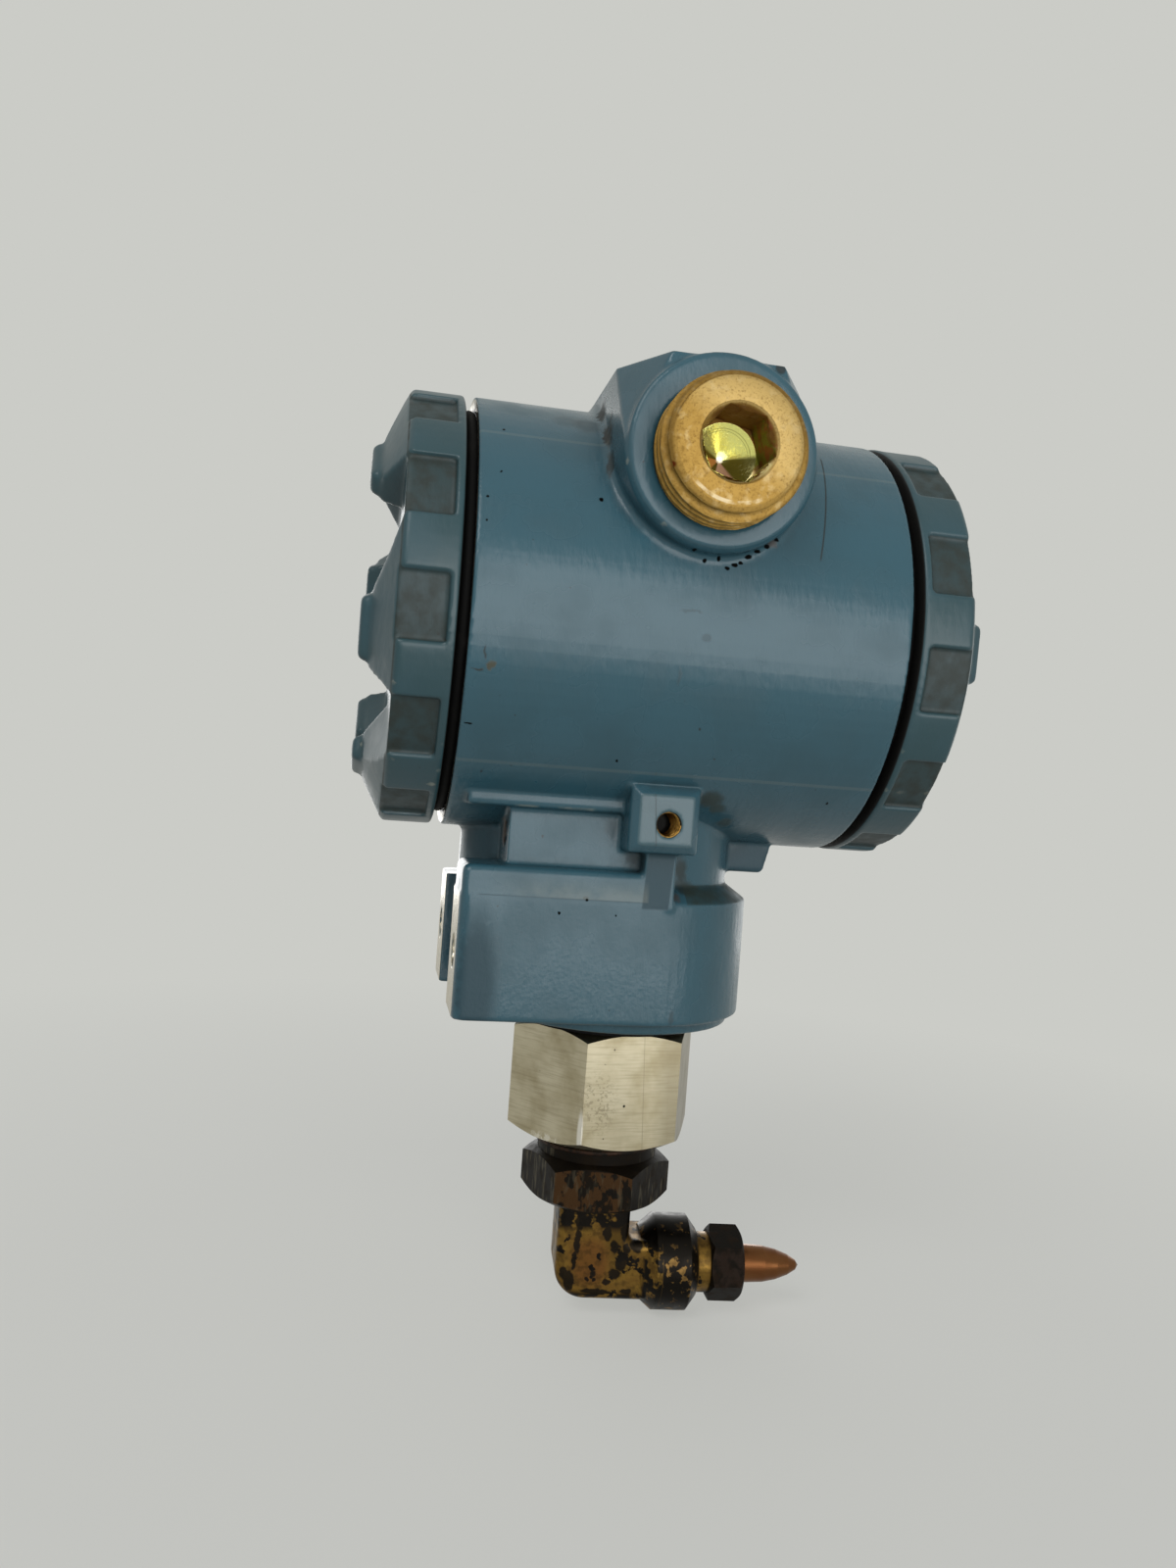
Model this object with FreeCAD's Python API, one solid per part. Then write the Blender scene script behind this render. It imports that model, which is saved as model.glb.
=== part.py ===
"""Pressure transmitter: cast housing, two screw covers, sensor, electronics and pipe fittings.

All sizes are in millimetres. The work is done in a frame with the barrel's axis along X at z = 0
and the sensor's axis along Z at x = 0. At the end every piece is moved so that the origin is the
middle of the two bracket holes, on the faces of their pads.
"""
import math
import os

import FreeCAD
import Part

V = FreeCAD.Vector
X = V(1, 0, 0)
Y = V(0, 1, 0)
Z = V(0, 0, 1)
ORIGIN = V(0, 0, 0)

# Clearances: screwed pieces, pressed or sealed pieces, and the covers' turning threads
THREAD_FIT = 0.05
SEAT_FIT = 0.05
COVER_FIT = 0.3

# Barrel, along X, with a compartment at each end and a wall between them
BARREL_R = 35.35
BARREL_LEFT = -31.3
BARREL_RIGHT = 35.0
MOUTH_LIP = 2.15
THREAD_WALL = 4.05
THREAD_DEPTH = 11.0
CAVITY_WALL = 6.35
WALL_RIGHT = -8.5
WALL_THICK = 4.0
MOUTH_R = BARREL_R - MOUTH_LIP
THREAD_R = BARREL_R - THREAD_WALL
CAVITY_R = BARREL_R - CAVITY_WALL
WALL_LEFT = WALL_RIGHT - WALL_THICK

# Conduit saddle across the top of the barrel; at each end a tapped entry, a little low in its ring
CONDUIT_R = 10.3
CONDUIT_DEPTH = 11.0
CONDUIT_DROP = 0.75
PASSAGE_STEP = 2.8
RING_WALL = 3.8
RING_PROUD = 1.1
RING_EDGE = 0.4
SADDLE_X = 2.9
SADDLE_SINK = 12.9
SADDLE_SIDE = 0.4
SADDLE_RISE = 0.65
SADDLE_PROUD = 1.55
SADDLE_FILLET = 1.1
CORNER_BACK = 10.7
CORNER_IN = 6.2
CORNER_FOOT = (0.8, 1.1)
RING_R = CONDUIT_R + RING_WALL
SADDLE_HALF = RING_R + SADDLE_SIDE
SADDLE_END = BARREL_R + SADDLE_PROUD
SADDLE_Z = BARREL_R - SADDLE_SINK
SADDLE_TOP = BARREL_R + SADDLE_RISE
RING_FACE = SADDLE_END + RING_PROUD
CONDUIT_CENTRE = V(SADDLE_X, 0, SADDLE_Z - CONDUIT_DROP)

# Neck under the barrel: flat panels, a rail along them and a column with the ribbon's passage
NECK_R = 18.7
NECK_HEIGHT = 4.65
NOTCH_X = -21.7
COLUMN_X = -18.9
COLUMN_R = 8.7
RAIL_LEFT = -28.5
RAIL_LIFT = 4.35
RAIL_HEIGHT = 2.4
RAIL_PROUD = 2.0
PASSAGE_X = -16.5
PASSAGE_R = 4.0
LEDGE_Z = -BARREL_R - NECK_HEIGHT
RAIL_BOTTOM = -BARREL_R + RAIL_LIFT
RAIL_FACE = NECK_R + RAIL_PROUD

# Ground boss on the neck, with a web down to the lower body, and a lug on the neck's right
BOSS_LEFT = -3.9
BOSS_WIDTH = 11.1
BOSS_HEIGHT = 10.4
BOSS_LIFT = 9.15
BOSS_FACE = 25.6
BOSS_CHAMFER = 1.4
BOSS_EDGE = 0.3
GROUND_X = 2.1
GROUND_SINK = 5.8
GROUND_R = 1.95
GROUND_DEPTH = 8.0
WEB_LEFT = -0.4
WEB_WIDTH = 5.1
WEB_INSET = 0.15
LUG_RIGHT = 25.6
LUG_SLOPE = 1.2
LUG_DROP = 4.7
LUG_WIDTH = 12.0
BOSS_TOP = -BARREL_R + BOSS_LIFT
BOSS_BOTTOM = BOSS_TOP - BOSS_HEIGHT
GROUND_Z = BOSS_TOP - GROUND_SINK

# Lower body round the sensor's bore, square on the left, with two bracket pads
SENSOR_BORE_R = 13.6
SENSOR_BORE_DEPTH = 19.2
LIP_WALL = 7.0
LIP_HEIGHT = 1.7
BODY_STEP = 1.75
BODY_HEIGHT = 19.4
SHOULDER_HEIGHT = 2.5
BODY_CORNER = 2.0
LEDGE_HEIGHT = 4.6
LEDGE_INSET = 0.2
LEDGE_EDGE = 1.2
PAD_FACE = -28.8
PAD_GROOVE = 19.0
PAD_GROOVE_DEPTH = 3.0
BRACKET_SPACING = 31.75
BRACKET_SINK = 9.6
BRACKET_R = 2.55
BRACKET_DEPTH = 10.0
LIP_R = SENSOR_BORE_R + LIP_WALL
BODY_R = LIP_R + BODY_STEP
WEB_FACE = BODY_R - WEB_INSET
BODY_TOP = LEDGE_Z - LEDGE_HEIGHT
BODY_BOTTOM = BODY_TOP - BODY_HEIGHT
LIP_BOTTOM = BODY_BOTTOM - LIP_HEIGHT
BRACKET_Z = BODY_TOP - BRACKET_SINK

# Covers: a rim with windows round it, and six sloping lobes with a lug on each
COVER_GAP = 1.7
COVER_RIM = 8.4
COVER_FLANGE = 1.3
COVER_FLOOR = 3.2
RIM_EDGE = 0.5
SPIGOT_LENGTH = 8.0
SPIGOT_WALL = 2.6
WINDOW_COUNT = 12
WINDOW_DEG = 16.4
WINDOW_DEPTH = 0.9
LOBE_COUNT = 6
LOBE_HEIGHT = 3.5
LOBE_ROOF = 6.95
LOBE_LENGTH = 4.5
LOBE_FOOT_DEG = (-21.0, 21.8)
LOBE_CREST_DEG = (-4.4, 20.2)
LUG_TURN_DEG = 8.3
LUG_SETBACK = 9.5
LUG_TANGENT = 9.6
LUG_RADIAL = 4.1
LUG_PROUD = 1.7
LUG_EDGE = 1.0
LEFT_COVER_TURN = -5.4
RIGHT_COVER_TURN = -11.7
SEAL_SECTION_R = 0.95
SEAL_GAP = 0.1
SPIGOT_R = THREAD_R - COVER_FIT
SPIGOT_INNER_R = SPIGOT_R - SPIGOT_WALL
LOBE_TOP_R = BARREL_R - LOBE_ROOF

# Conduit plug
PLUG_PROUD = 7.2
PLUG_CREST = 0.35
PLUG_FACE_INSET = 1.7
PLUG_CHAMFER = 1.6
PLUG_SHORT = 0.5
KEY_AF = 9.53
KEY_DEPTH = 7.5
KEY_TURN = 18.0
KEY_MOUTH = 1.0
DRILL_DEPTH = 2.8

# Sensor: stainless hexagon, spigot in the casting, diaphragm and sealed header inside
SENSOR_SHELF = 0.69
SENSOR_BEVEL = 0.21
SENSOR_HEX_HEIGHT = 19.1
SENSOR_HEX_TURN = -21.2
SENSOR_SPIGOT = 17.1
GASKET_THICK = 1.4
GASKET_WIDTH = 1.8
PORT_R = 9.9
PORT_DEPTH = 15.5
HEADER_WALL = 3.95
HEADER_FLOOR = 0.8
HEADER_HEIGHT = 16.0
PIN_R = 0.5
PIN_SPREAD = 3.0
PIN_HEIGHT = 3.2
DIAPHRAGM_THICK = 0.3
RIBBON_WIDTH = 4.0
RIBBON_THICK = 0.5
RIBBON_SINK = 0.4
LOCK_R = 2.0
LOCK_DEPTH = 7.0
LOCK_SINK = 0.9
LOCK_KEY_AF = 1.98
LOCK_MOUTH = V(NOTCH_X, -14.0, LEDGE_Z + 4.7)
SENSOR_AF = 2 * (SENSOR_BORE_R + SENSOR_SHELF)
SENSOR_FACE_R = SENSOR_AF / 2 - SENSOR_BEVEL
HEX_TOP = LIP_BOTTOM - GASKET_THICK
HEX_BOTTOM = HEX_TOP - SENSOR_HEX_HEIGHT
SENSOR_TOP = HEX_TOP + SENSOR_SPIGOT
SENSOR_ROOF = LIP_BOTTOM + SENSOR_BORE_DEPTH
DIAPHRAGM_Z = HEX_BOTTOM + PORT_DEPTH
HEADER_R = SENSOR_BORE_R - HEADER_WALL
HEADER_START = DIAPHRAGM_Z + HEADER_FLOOR

# Electronics, on the left of the dividing wall
BOARD_STANDOFF = 3.5
BOARD_THICK = 1.6
BOARD_CLEARANCE = 3.5
POST_R = 3.2
POST_INSET = 5.5
CHIP_HEIGHT = 2.2
CAN_R = 2.6
CAN_HEIGHT = 6.0
CONNECTOR_HEIGHT = 5.0
CONNECTOR_DEPTH = 3.2
CONNECTOR_HALF = 4.0
CONNECTOR_INSET = 3.5
FEED_R = 4.0
FEED_Z = -6.0
CHIPS = [(-9, -4, 12, 12), (6, -14, 6, 9), (-14, -16, 7, 6), (5, 8, 8, 5)]
CANS = [(-8, 15), (0, 17), (11, -1)]
BOARD_R = CAVITY_R - BOARD_CLEARANCE
BOARD_BACK = WALL_LEFT - BOARD_STANDOFF
BOARD_FRONT = BOARD_BACK - BOARD_THICK
BOARD_SPOTS = [(BOARD_R - POST_INSET, 0), (POST_INSET - BOARD_R, 0)]
CONNECTOR_Z = CONNECTOR_INSET - BOARD_R

# Terminals, on the right of the dividing wall
BLOCK_HALF = 19.0
BLOCK_BOTTOM = -19.0
BLOCK_HEIGHT = 28.0
BLOCK_DEPTH = 16.5
BLOCK_CORNER = 4.0
POCKET_DEPTH = 6.0
POCKET_HALF = 4.5
TERMINAL_PITCH = 12.0
TERMINAL_Z = -2.0
CLAMP_HALF = 4.0
CLAMP_THICK = 1.0
BLOCK_SPOTS = [(15.0, -14.5), (-15.0, -14.5)]
EARTH_INSET = 4.5
TAP_R = 1.5
TAP_DEPTH = 3.0
TAP_SHORT = 0.4
HOLE_FIT = 0.15
SMALL_HEAD = (2.8, 1.9)
CLAMP_HEAD = (3.4, 2.4)
EARTH_HEAD = (3.0, 2.2)
CLAMP_SHANK = 7.0
BLOCK_FACE = WALL_RIGHT + BLOCK_DEPTH
POCKET_FLOOR = BLOCK_FACE - POCKET_DEPTH
EARTH_SPOT = (0.0, EARTH_INSET - CAVITY_R)

# Fittings below the sensor
BUSHING_AF = 22.2
BUSHING_FACE_R = (10.5, 9.3)
BUSHING_SHOULDER = 3.2
BUSHING_HEIGHT = 8.4
BUSHING_TURN = 17.5
BUSHING_BORE_R = 4.6
BUSHING_SHOULDER_R = 10.3
STUB_GAP = 2.5
ELBOW_DROP = 11.7
ELBOW_HALF = 6.2
ELBOW_ARM = 5.1
ELBOW_DEPTH = 5.6
ELBOW_CORNER = 5.2
ELBOW_CROOK = 1.0
ELBOW_EDGE = 1.5
ELBOW_BORE_R = 2.6
ELBOW_THREAD = 5.5
OUTLET_TURN = -5.0
COLLAR_WALL = 3.0
COLLAR_START = 8.5
COLLAR_LENGTH = 10.1
COLLAR_FLARE = (2.6, 2.1)
COLLAR_NOSE = (1.7, 2.2)
STUB_WALL = 1.775
STUB_LENGTH = 5.4
NUT_WALL = 0.555
NUT_BEVEL = 0.105
NUT_TURN = 46.7
NUT_GAP = 2.3
NUT_LENGTH = 5.8
FERRULE_LENGTH = 1.7
FERRULE_WALL = 1.15
FERRULE_TAPER = 0.5
TUBE_R = 3.175
TUBE_WALL = 0.8
TUBE_SOCKET = 1.0
TUBE_FREE = 10.9
TUBE_POINT = 9.5
BUSHING_TOP = HEX_BOTTOM - BUSHING_SHOULDER
BUSHING_BOTTOM = BUSHING_TOP - BUSHING_HEIGHT
ELBOW_Z = BUSHING_BOTTOM - ELBOW_DROP
COLLAR_END = COLLAR_START + COLLAR_LENGTH
STUB_R = TUBE_R + THREAD_FIT + STUB_WALL
COLLAR_R = STUB_R + COLLAR_WALL
NUT_AF = 2 * (STUB_R + NUT_WALL)
NUT_FACE_R = NUT_AF / 2 - NUT_BEVEL
NUT_START = COLLAR_END + NUT_GAP
NUT_END = NUT_START + NUT_LENGTH
TUBE_TIP = NUT_END + TUBE_FREE


def cylinder(radius, start, end, axis, centre=ORIGIN):
    """A cylinder along an axis, between two distances measured from a centre."""
    return Part.makeCylinder(radius, end - start, centre + axis * start, axis)


def cone(r_start, r_end, start, end, axis, centre=ORIGIN):
    """A cone frustum along an axis, between two distances measured from a centre."""
    return Part.makeCone(r_start, r_end, end - start, centre + axis * start, axis)


def box(x0, x1, y0, y1, z0, z1):
    """A box between two corners."""
    return Part.makeBox(x1 - x0, y1 - y0, z1 - z0, V(x0, y0, z0))


def edges_along(shape, axis):
    """The straight edges that run along an axis."""
    found = []
    for edge in shape.Edges:
        run = edge.Vertexes[-1].Point - edge.Vertexes[0].Point
        if run.Length > 0 and run.cross(axis).Length < 1e-6:
            found.append(edge)
    return found


def edges_at(shape, axis, distance):
    """The edges whose middle lies at a distance along an axis."""
    return [edge for edge in shape.Edges if abs(edge.CenterOfMass.dot(axis) - distance) < 1e-6]


def prism(points, direction):
    """A flat polygon pushed along a direction."""
    return Part.Face(Part.makePolygon(points + [points[0]])).extrude(direction)


def turned(points, axis, origin=ORIGIN):
    """A closed outline of (distance along the axis, radius) pairs, turned about the axis."""
    side = Z if abs(axis.dot(Z)) < 0.5 else X
    outline = [origin + axis * along + side * radius for along, radius in points]
    face = Part.Face(Part.makePolygon(outline + [outline[0]]))
    return face.revolve(origin, axis, 360)


def hexagon(across_flats, start, end, axis, centre, turn_deg, faces=None):
    """A hexagonal bar; given the radii of its end faces, its corners are turned off like a nut's."""
    side = V(0, -1, 0) if abs(axis.dot(Z)) > 0.5 else Z
    other = axis.cross(side)
    corner_r = across_flats / 2 / math.cos(math.pi / 6)
    points = []
    for k in range(6):
        angle = math.radians(turn_deg + 60 * k)
        spoke = side * math.cos(angle) + other * math.sin(angle)
        points.append(centre + axis * start + spoke * corner_r)
    bar = prism(points, axis * (end - start))
    if faces is None:
        return bar
    clear_r = corner_r * 1.01
    slope = math.tan(math.radians(30))
    lathe = turned([(start, 0), (start, faces[0]), (start + (clear_r - faces[0]) * slope, clear_r),
                    (end - (clear_r - faces[1]) * slope, clear_r), (end, faces[1]), (end, 0)], axis, centre)
    return bar.common(lathe)


def ring_of(shape, count):
    """Copies of a shape turned evenly about the barrel's axis."""
    copies = []
    for k in range(count):
        copy = shape.copy()
        copy.rotate(ORIGIN, X, 360.0 * k / count)
        copies.append(copy)
    return copies


def mirrored_y(shape):
    """The shape and its mirror image on the other side of the plane y = 0."""
    return [shape, shape.mirror(ORIGIN, Y)]


def pan_screw(head, shank_length, seat, axis):
    """A slotted pan-head screw whose head stands on a seat; the axis points out of the head."""
    head_r, head_h = head
    top = cylinder(head_r, 0, head_h, axis, seat)
    rim = edges_at(top, axis, seat.dot(axis) + head_h)
    top = top.makeFillet(head_h * 0.4, rim)
    across = axis.cross(Z)
    up = axis.cross(across)
    half = head_r * 0.16
    corner = seat + axis * (head_h * 0.55)
    points = [corner + across * a + up * b for a, b in
              ((-head_r, -half), (head_r, -half), (head_r, half), (-head_r, half))]
    shank = cylinder(TAP_R - THREAD_FIT, -shank_length, 0.01, axis, seat)
    return top.cut(prism(points, axis * head_h)).fuse(shank)


def sector(inner_r, outer_r, low_deg, high_deg, x):
    """A four-sided outline between two radial lines about the barrel's axis, at a place along X."""
    points = []
    for radius, angle in ((inner_r, low_deg), (inner_r, high_deg), (outer_r, high_deg), (outer_r, low_deg)):
        turn = math.radians(angle)
        points.append(V(x, radius * math.sin(turn), radius * math.cos(turn)))
    return Part.makePolygon(points + [points[0]])


def make_saddle():
    """The block over the barrel that carries both conduit rings, with its four corners cut off."""
    left = SADDLE_X - SADDLE_HALF
    right = SADDLE_X + SADDLE_HALF
    middle = V(SADDLE_X, 0, SADDLE_Z)
    lower = cylinder(SADDLE_HALF, -SADDLE_END, SADDLE_END, Y, middle)
    lower = lower.common(box(left, right, -SADDLE_END, SADDLE_END, SADDLE_Z - SADDLE_HALF, SADDLE_Z))
    saddle = lower.fuse(box(left, right, -SADDLE_END, SADDLE_END, SADDLE_Z, SADDLE_TOP))
    a = V(left, CORNER_BACK - SADDLE_END, SADDLE_TOP)
    b = V(left + CORNER_IN, -SADDLE_END, SADDLE_TOP)
    c = V(left, CORNER_FOOT[0] - SADDLE_END, SADDLE_Z + CORNER_FOOT[1])
    u = (b - a).normalize()
    normal = u.cross(c - a).normalize()
    if normal.x > 0:
        normal = normal * -1
    w = normal.cross(u)
    reach = SADDLE_HALF * 3
    square = [a + u * p + w * q for p, q in
              ((-reach, -reach), (reach, -reach), (reach, reach), (-reach, reach))]
    corner = prism(square, normal * reach)
    corner = corner.common(box(left - 5, SADDLE_X, -SADDLE_END - 5, 0, SADDLE_Z - 4, SADDLE_TOP + 5))
    cuts = mirrored_y(corner) + mirrored_y(corner.mirror(middle, X))
    saddle = saddle.cut(cuts)
    rings = []
    for out in (Y * -1, Y):
        rings.append(turned([(0, 0), (0, RING_R), (RING_FACE - RING_EDGE, RING_R),
                             (RING_FACE, RING_R - RING_EDGE), (RING_FACE, 0)], out, middle))
    return saddle.fuse(rings).removeSplitter()


def d_plan(radius, left, corner_r, z0, z1):
    """A body with a round right end about the sensor axis and a square left end."""
    block = box(left, 0, -radius, radius, z0, z1)
    if corner_r > 0:
        edges = [e for e in edges_along(block, Z) if abs(e.CenterOfMass.x - left) < 1e-6]
        block = block.makeFillet(corner_r, edges)
    return block.fuse(cylinder(radius, z0, z1, Z)).removeSplitter()


def make_upper():
    """The barrel and saddle, with a cast fillet where they meet."""
    barrel = cylinder(BARREL_R, BARREL_LEFT, BARREL_RIGHT, X)
    upper = barrel.fuse(make_saddle()).removeSplitter()
    meeting = []
    for edge in upper.Edges:
        middle = edge.valueAt((edge.FirstParameter + edge.LastParameter) / 2)
        on_barrel = abs(math.hypot(middle.y, middle.z) - BARREL_R) < 1e-4
        inside_ends = BARREL_LEFT + 0.1 < middle.x < BARREL_RIGHT - 0.1
        if on_barrel and inside_ends and abs(middle.y) > 1e-3:
            meeting.append(edge)
    return upper.makeFillet(SADDLE_FILLET, meeting)


def make_neck():
    """The neck's panels, column, rail, ground boss, web and right lug."""
    top = -CAVITY_R / 2
    neck = d_plan(NECK_R, NOTCH_X, 0, BODY_TOP - 1, top)
    column = cylinder(COLUMN_R, BODY_TOP - 1, top, Z, V(COLUMN_X, 0, 0))
    rail = box(RAIL_LEFT, BOSS_LEFT + 2, -RAIL_FACE, RAIL_FACE, RAIL_BOTTOM, RAIL_BOTTOM + RAIL_HEIGHT)
    rail = rail.makeFillet(RAIL_HEIGHT * 0.42, edges_along(rail, X))
    boss = box(BOSS_LEFT, BOSS_LEFT + BOSS_WIDTH, -BOSS_FACE, -NECK_R / 2, BOSS_BOTTOM, BOSS_TOP)
    boss = boss.makeChamfer(BOSS_CHAMFER, edges_at(boss, Y, -BOSS_FACE))
    boss = boss.makeFillet(BOSS_EDGE, edges_at(boss, Y, -BOSS_FACE))
    web = box(WEB_LEFT, WEB_LEFT + WEB_WIDTH, -WEB_FACE, -NECK_R / 2, BODY_TOP - 1, BOSS_BOTTOM + 1)
    half = LUG_WIDTH / 2
    low = -BARREL_R - LUG_DROP
    lug = prism([V(NECK_R / 2, -half, low), V(LUG_RIGHT - LUG_SLOPE, -half, low),
                 V(LUG_RIGHT, -half, low + LUG_DROP), V(LUG_RIGHT, -half, top), V(NECK_R / 2, -half, top)],
                Y * LUG_WIDTH)
    rims = [e for e in edges_at(lug, Z, low) if e.CenterOfMass.x > NECK_R / 2 + 0.1]
    lug = lug.makeFillet(0.8, rims)
    return neck.fuse([column, rail, boss, web, lug])


def make_lower_body():
    """The lower body with its ledge, shoulder, lip and the groove between the bracket pads."""
    body = d_plan(BODY_R, PAD_FACE, BODY_CORNER, BODY_BOTTOM, BODY_TOP)
    ledge_face = LEDGE_INSET - BODY_R
    ledge = box(PAD_FACE + LEDGE_INSET, WEB_LEFT + WEB_WIDTH / 2, ledge_face, -PAD_GROOVE / 2,
                BODY_TOP - 1, LEDGE_Z)
    front = [e for e in edges_at(ledge, Z, LEDGE_Z) if abs(e.CenterOfMass.y - ledge_face) < 1e-6]
    end = [e for e in edges_at(ledge, Z, LEDGE_Z) if e.CenterOfMass.x < PAD_FACE + 1]
    upright = [e for e in edges_along(ledge, Z) if e.CenterOfMass.x < 0 and e.CenterOfMass.y < -BODY_R / 2]
    ledge = ledge.makeFillet(LEDGE_EDGE, front + end + upright)
    shoulder = cone(BODY_R, NECK_R, BODY_TOP, BODY_TOP + SHOULDER_HEIGHT, Z)
    lip = cylinder(LIP_R, LIP_BOTTOM, BODY_BOTTOM, Z)
    half = PAD_GROOVE / 2
    groove = box(PAD_FACE - 1, PAD_FACE + PAD_GROOVE_DEPTH, -half, half, BODY_BOTTOM - 1, BODY_TOP + 1)
    return body.cut(groove).fuse([ledge, shoulder, lip])


def chamber(mouth, inward, depth):
    """The room at one end of the barrel: sealing chamfer, thread's plain wall and cavity."""
    slope = MOUTH_R - THREAD_R
    return turned([(-1, 0), (-1, MOUTH_R), (0, MOUTH_R), (slope, THREAD_R), (THREAD_DEPTH, THREAD_R),
                   (THREAD_DEPTH, CAVITY_R), (depth, CAVITY_R), (depth, 0)], inward, V(mouth, 0, 0))


def make_housing():
    """The casting, with its bores, threads' plain walls and holes."""
    solid = make_upper().fuse([make_neck(), make_lower_body()])
    cuts = [chamber(BARREL_LEFT, X, WALL_LEFT - BARREL_LEFT),
            chamber(BARREL_RIGHT, X * -1, BARREL_RIGHT - WALL_RIGHT)]
    for out in (Y * -1, Y):
        cuts.append(cylinder(CONDUIT_R, RING_FACE - CONDUIT_DEPTH, RING_FACE + 1, out, CONDUIT_CENTRE))
        cuts.append(cylinder(CONDUIT_R - PASSAGE_STEP, 0, RING_FACE, out, CONDUIT_CENTRE))
    for side in (-1, 1):
        hole = V(PAD_FACE, side * BRACKET_SPACING / 2, BRACKET_Z)
        cuts.append(cylinder(BRACKET_R, -1, BRACKET_DEPTH, X, hole))
    ground = V(GROUND_X, -BOSS_FACE, GROUND_Z)
    cuts.append(cylinder(GROUND_R, -1, GROUND_DEPTH, Y, ground))
    cuts.append(cylinder(SENSOR_BORE_R, LIP_BOTTOM - 1, SENSOR_ROOF, Z))
    passage_low = SENSOR_ROOF - PASSAGE_R + 1
    cuts.append(cylinder(PASSAGE_R, passage_low, -CAVITY_R * 0.8, Z, V(PASSAGE_X, 0, 0)))
    cuts.append(box(PASSAGE_X, 0, -PASSAGE_R, PASSAGE_R, passage_low, SENSOR_ROOF))
    cuts.append(cylinder(LOCK_R, -1, LOCK_DEPTH, X, LOCK_MOUTH))
    cuts.append(cylinder(FEED_R + SEAT_FIT, WALL_LEFT - 1, WALL_RIGHT + 1, X, V(0, 0, FEED_Z)))
    solid = solid.cut(cuts)
    posts = []
    taps = []
    for y, z in BOARD_SPOTS:
        posts.append(cylinder(POST_R, BOARD_BACK, WALL_LEFT + 0.5, X, V(0, y, z)))
        taps.append(cylinder(TAP_R, BOARD_BACK - 1, BOARD_BACK + TAP_DEPTH, X, V(0, y, z)))
    for y, z in BLOCK_SPOTS + [EARTH_SPOT]:
        taps.append(cylinder(TAP_R, WALL_RIGHT - TAP_DEPTH, WALL_RIGHT + 1, X, V(0, y, z)))
    return solid.fuse(posts).cut(taps).removeSplitter()


def make_lobe(top):
    """One sloping lobe of a cover, steep on one side and gentle on the other."""
    roof = turned([(COVER_RIM - 1, 0), (COVER_RIM - 1, BARREL_R - RIM_EDGE), (COVER_RIM, BARREL_R - RIM_EDGE),
                   (top, LOBE_TOP_R), (top, 0)], X)
    inner = LOBE_TOP_R - LOBE_LENGTH
    foot = sector(inner - LOBE_HEIGHT / 6, BARREL_R + 5, LOBE_FOOT_DEG[0], LOBE_FOOT_DEG[1], COVER_RIM)
    crest = sector(inner, BARREL_R + 5, LOBE_CREST_DEG[0], LOBE_CREST_DEG[1], top)
    return Part.makeLoft([foot, crest], True, True).common(roof)


def make_lug(top):
    """The rounded lug on a lobe's crest, for a bar across the cover."""
    radius = BARREL_R - LUG_SETBACK
    lug = box(top - 2, top + LUG_PROUD, -LUG_TANGENT / 2, LUG_TANGENT / 2,
              radius - LUG_RADIAL / 2, radius + LUG_RADIAL / 2)
    lug = lug.makeFillet(LUG_EDGE, [e for e in lug.Edges if e.CenterOfMass.x > top - 1.9])
    lug.rotate(ORIGIN, X, -LUG_TURN_DEG)
    return lug


def make_cover(outward, mouth, turn_deg):
    """A screw cover standing off the barrel's end; outward points away from the barrel."""
    top = COVER_RIM + LOBE_HEIGHT
    end = -COVER_GAP - SPIGOT_LENGTH
    floor = COVER_RIM - COVER_FLOOR
    shell = turned([(end, SPIGOT_INNER_R), (end, SPIGOT_R - 0.6), (end + 0.6, SPIGOT_R), (0, SPIGOT_R),
                    (0, BARREL_R - 0.3), (0.3, BARREL_R), (COVER_RIM - RIM_EDGE, BARREL_R),
                    (COVER_RIM, BARREL_R - RIM_EDGE), (COVER_RIM, 0), (floor, 0),
                    (floor, SPIGOT_INNER_R)], X)
    crown = ring_of(make_lobe(top), LOBE_COUNT) + ring_of(make_lug(top), LOBE_COUNT)
    half = BARREL_R * math.radians(WINDOW_DEG) / 2
    window = box(COVER_FLANGE, top, -half, half, BARREL_R - 4, BARREL_R + 3)
    window = window.cut(cylinder(BARREL_R - WINDOW_DEPTH, 0, top + 1, X))
    cover = shell.fuse(crown).cut(ring_of(window, WINDOW_COUNT)).removeSplitter()
    if outward.x < 0:
        cover.rotate(ORIGIN, Z, 180)
    cover.rotate(ORIGIN, X, 90 - turn_deg)
    cover.translate(V(mouth, 0, 0) + outward * COVER_GAP)
    return cover


def make_seal(outward, mouth):
    """The ring in the gap between a cover's flange and the barrel's end."""
    along = mouth + outward.x * (COVER_GAP - SEAL_GAP - SEAL_SECTION_R)
    return Part.makeTorus(THREAD_R + SEAL_SECTION_R, SEAL_SECTION_R, V(along, 0, 0), X)


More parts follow.
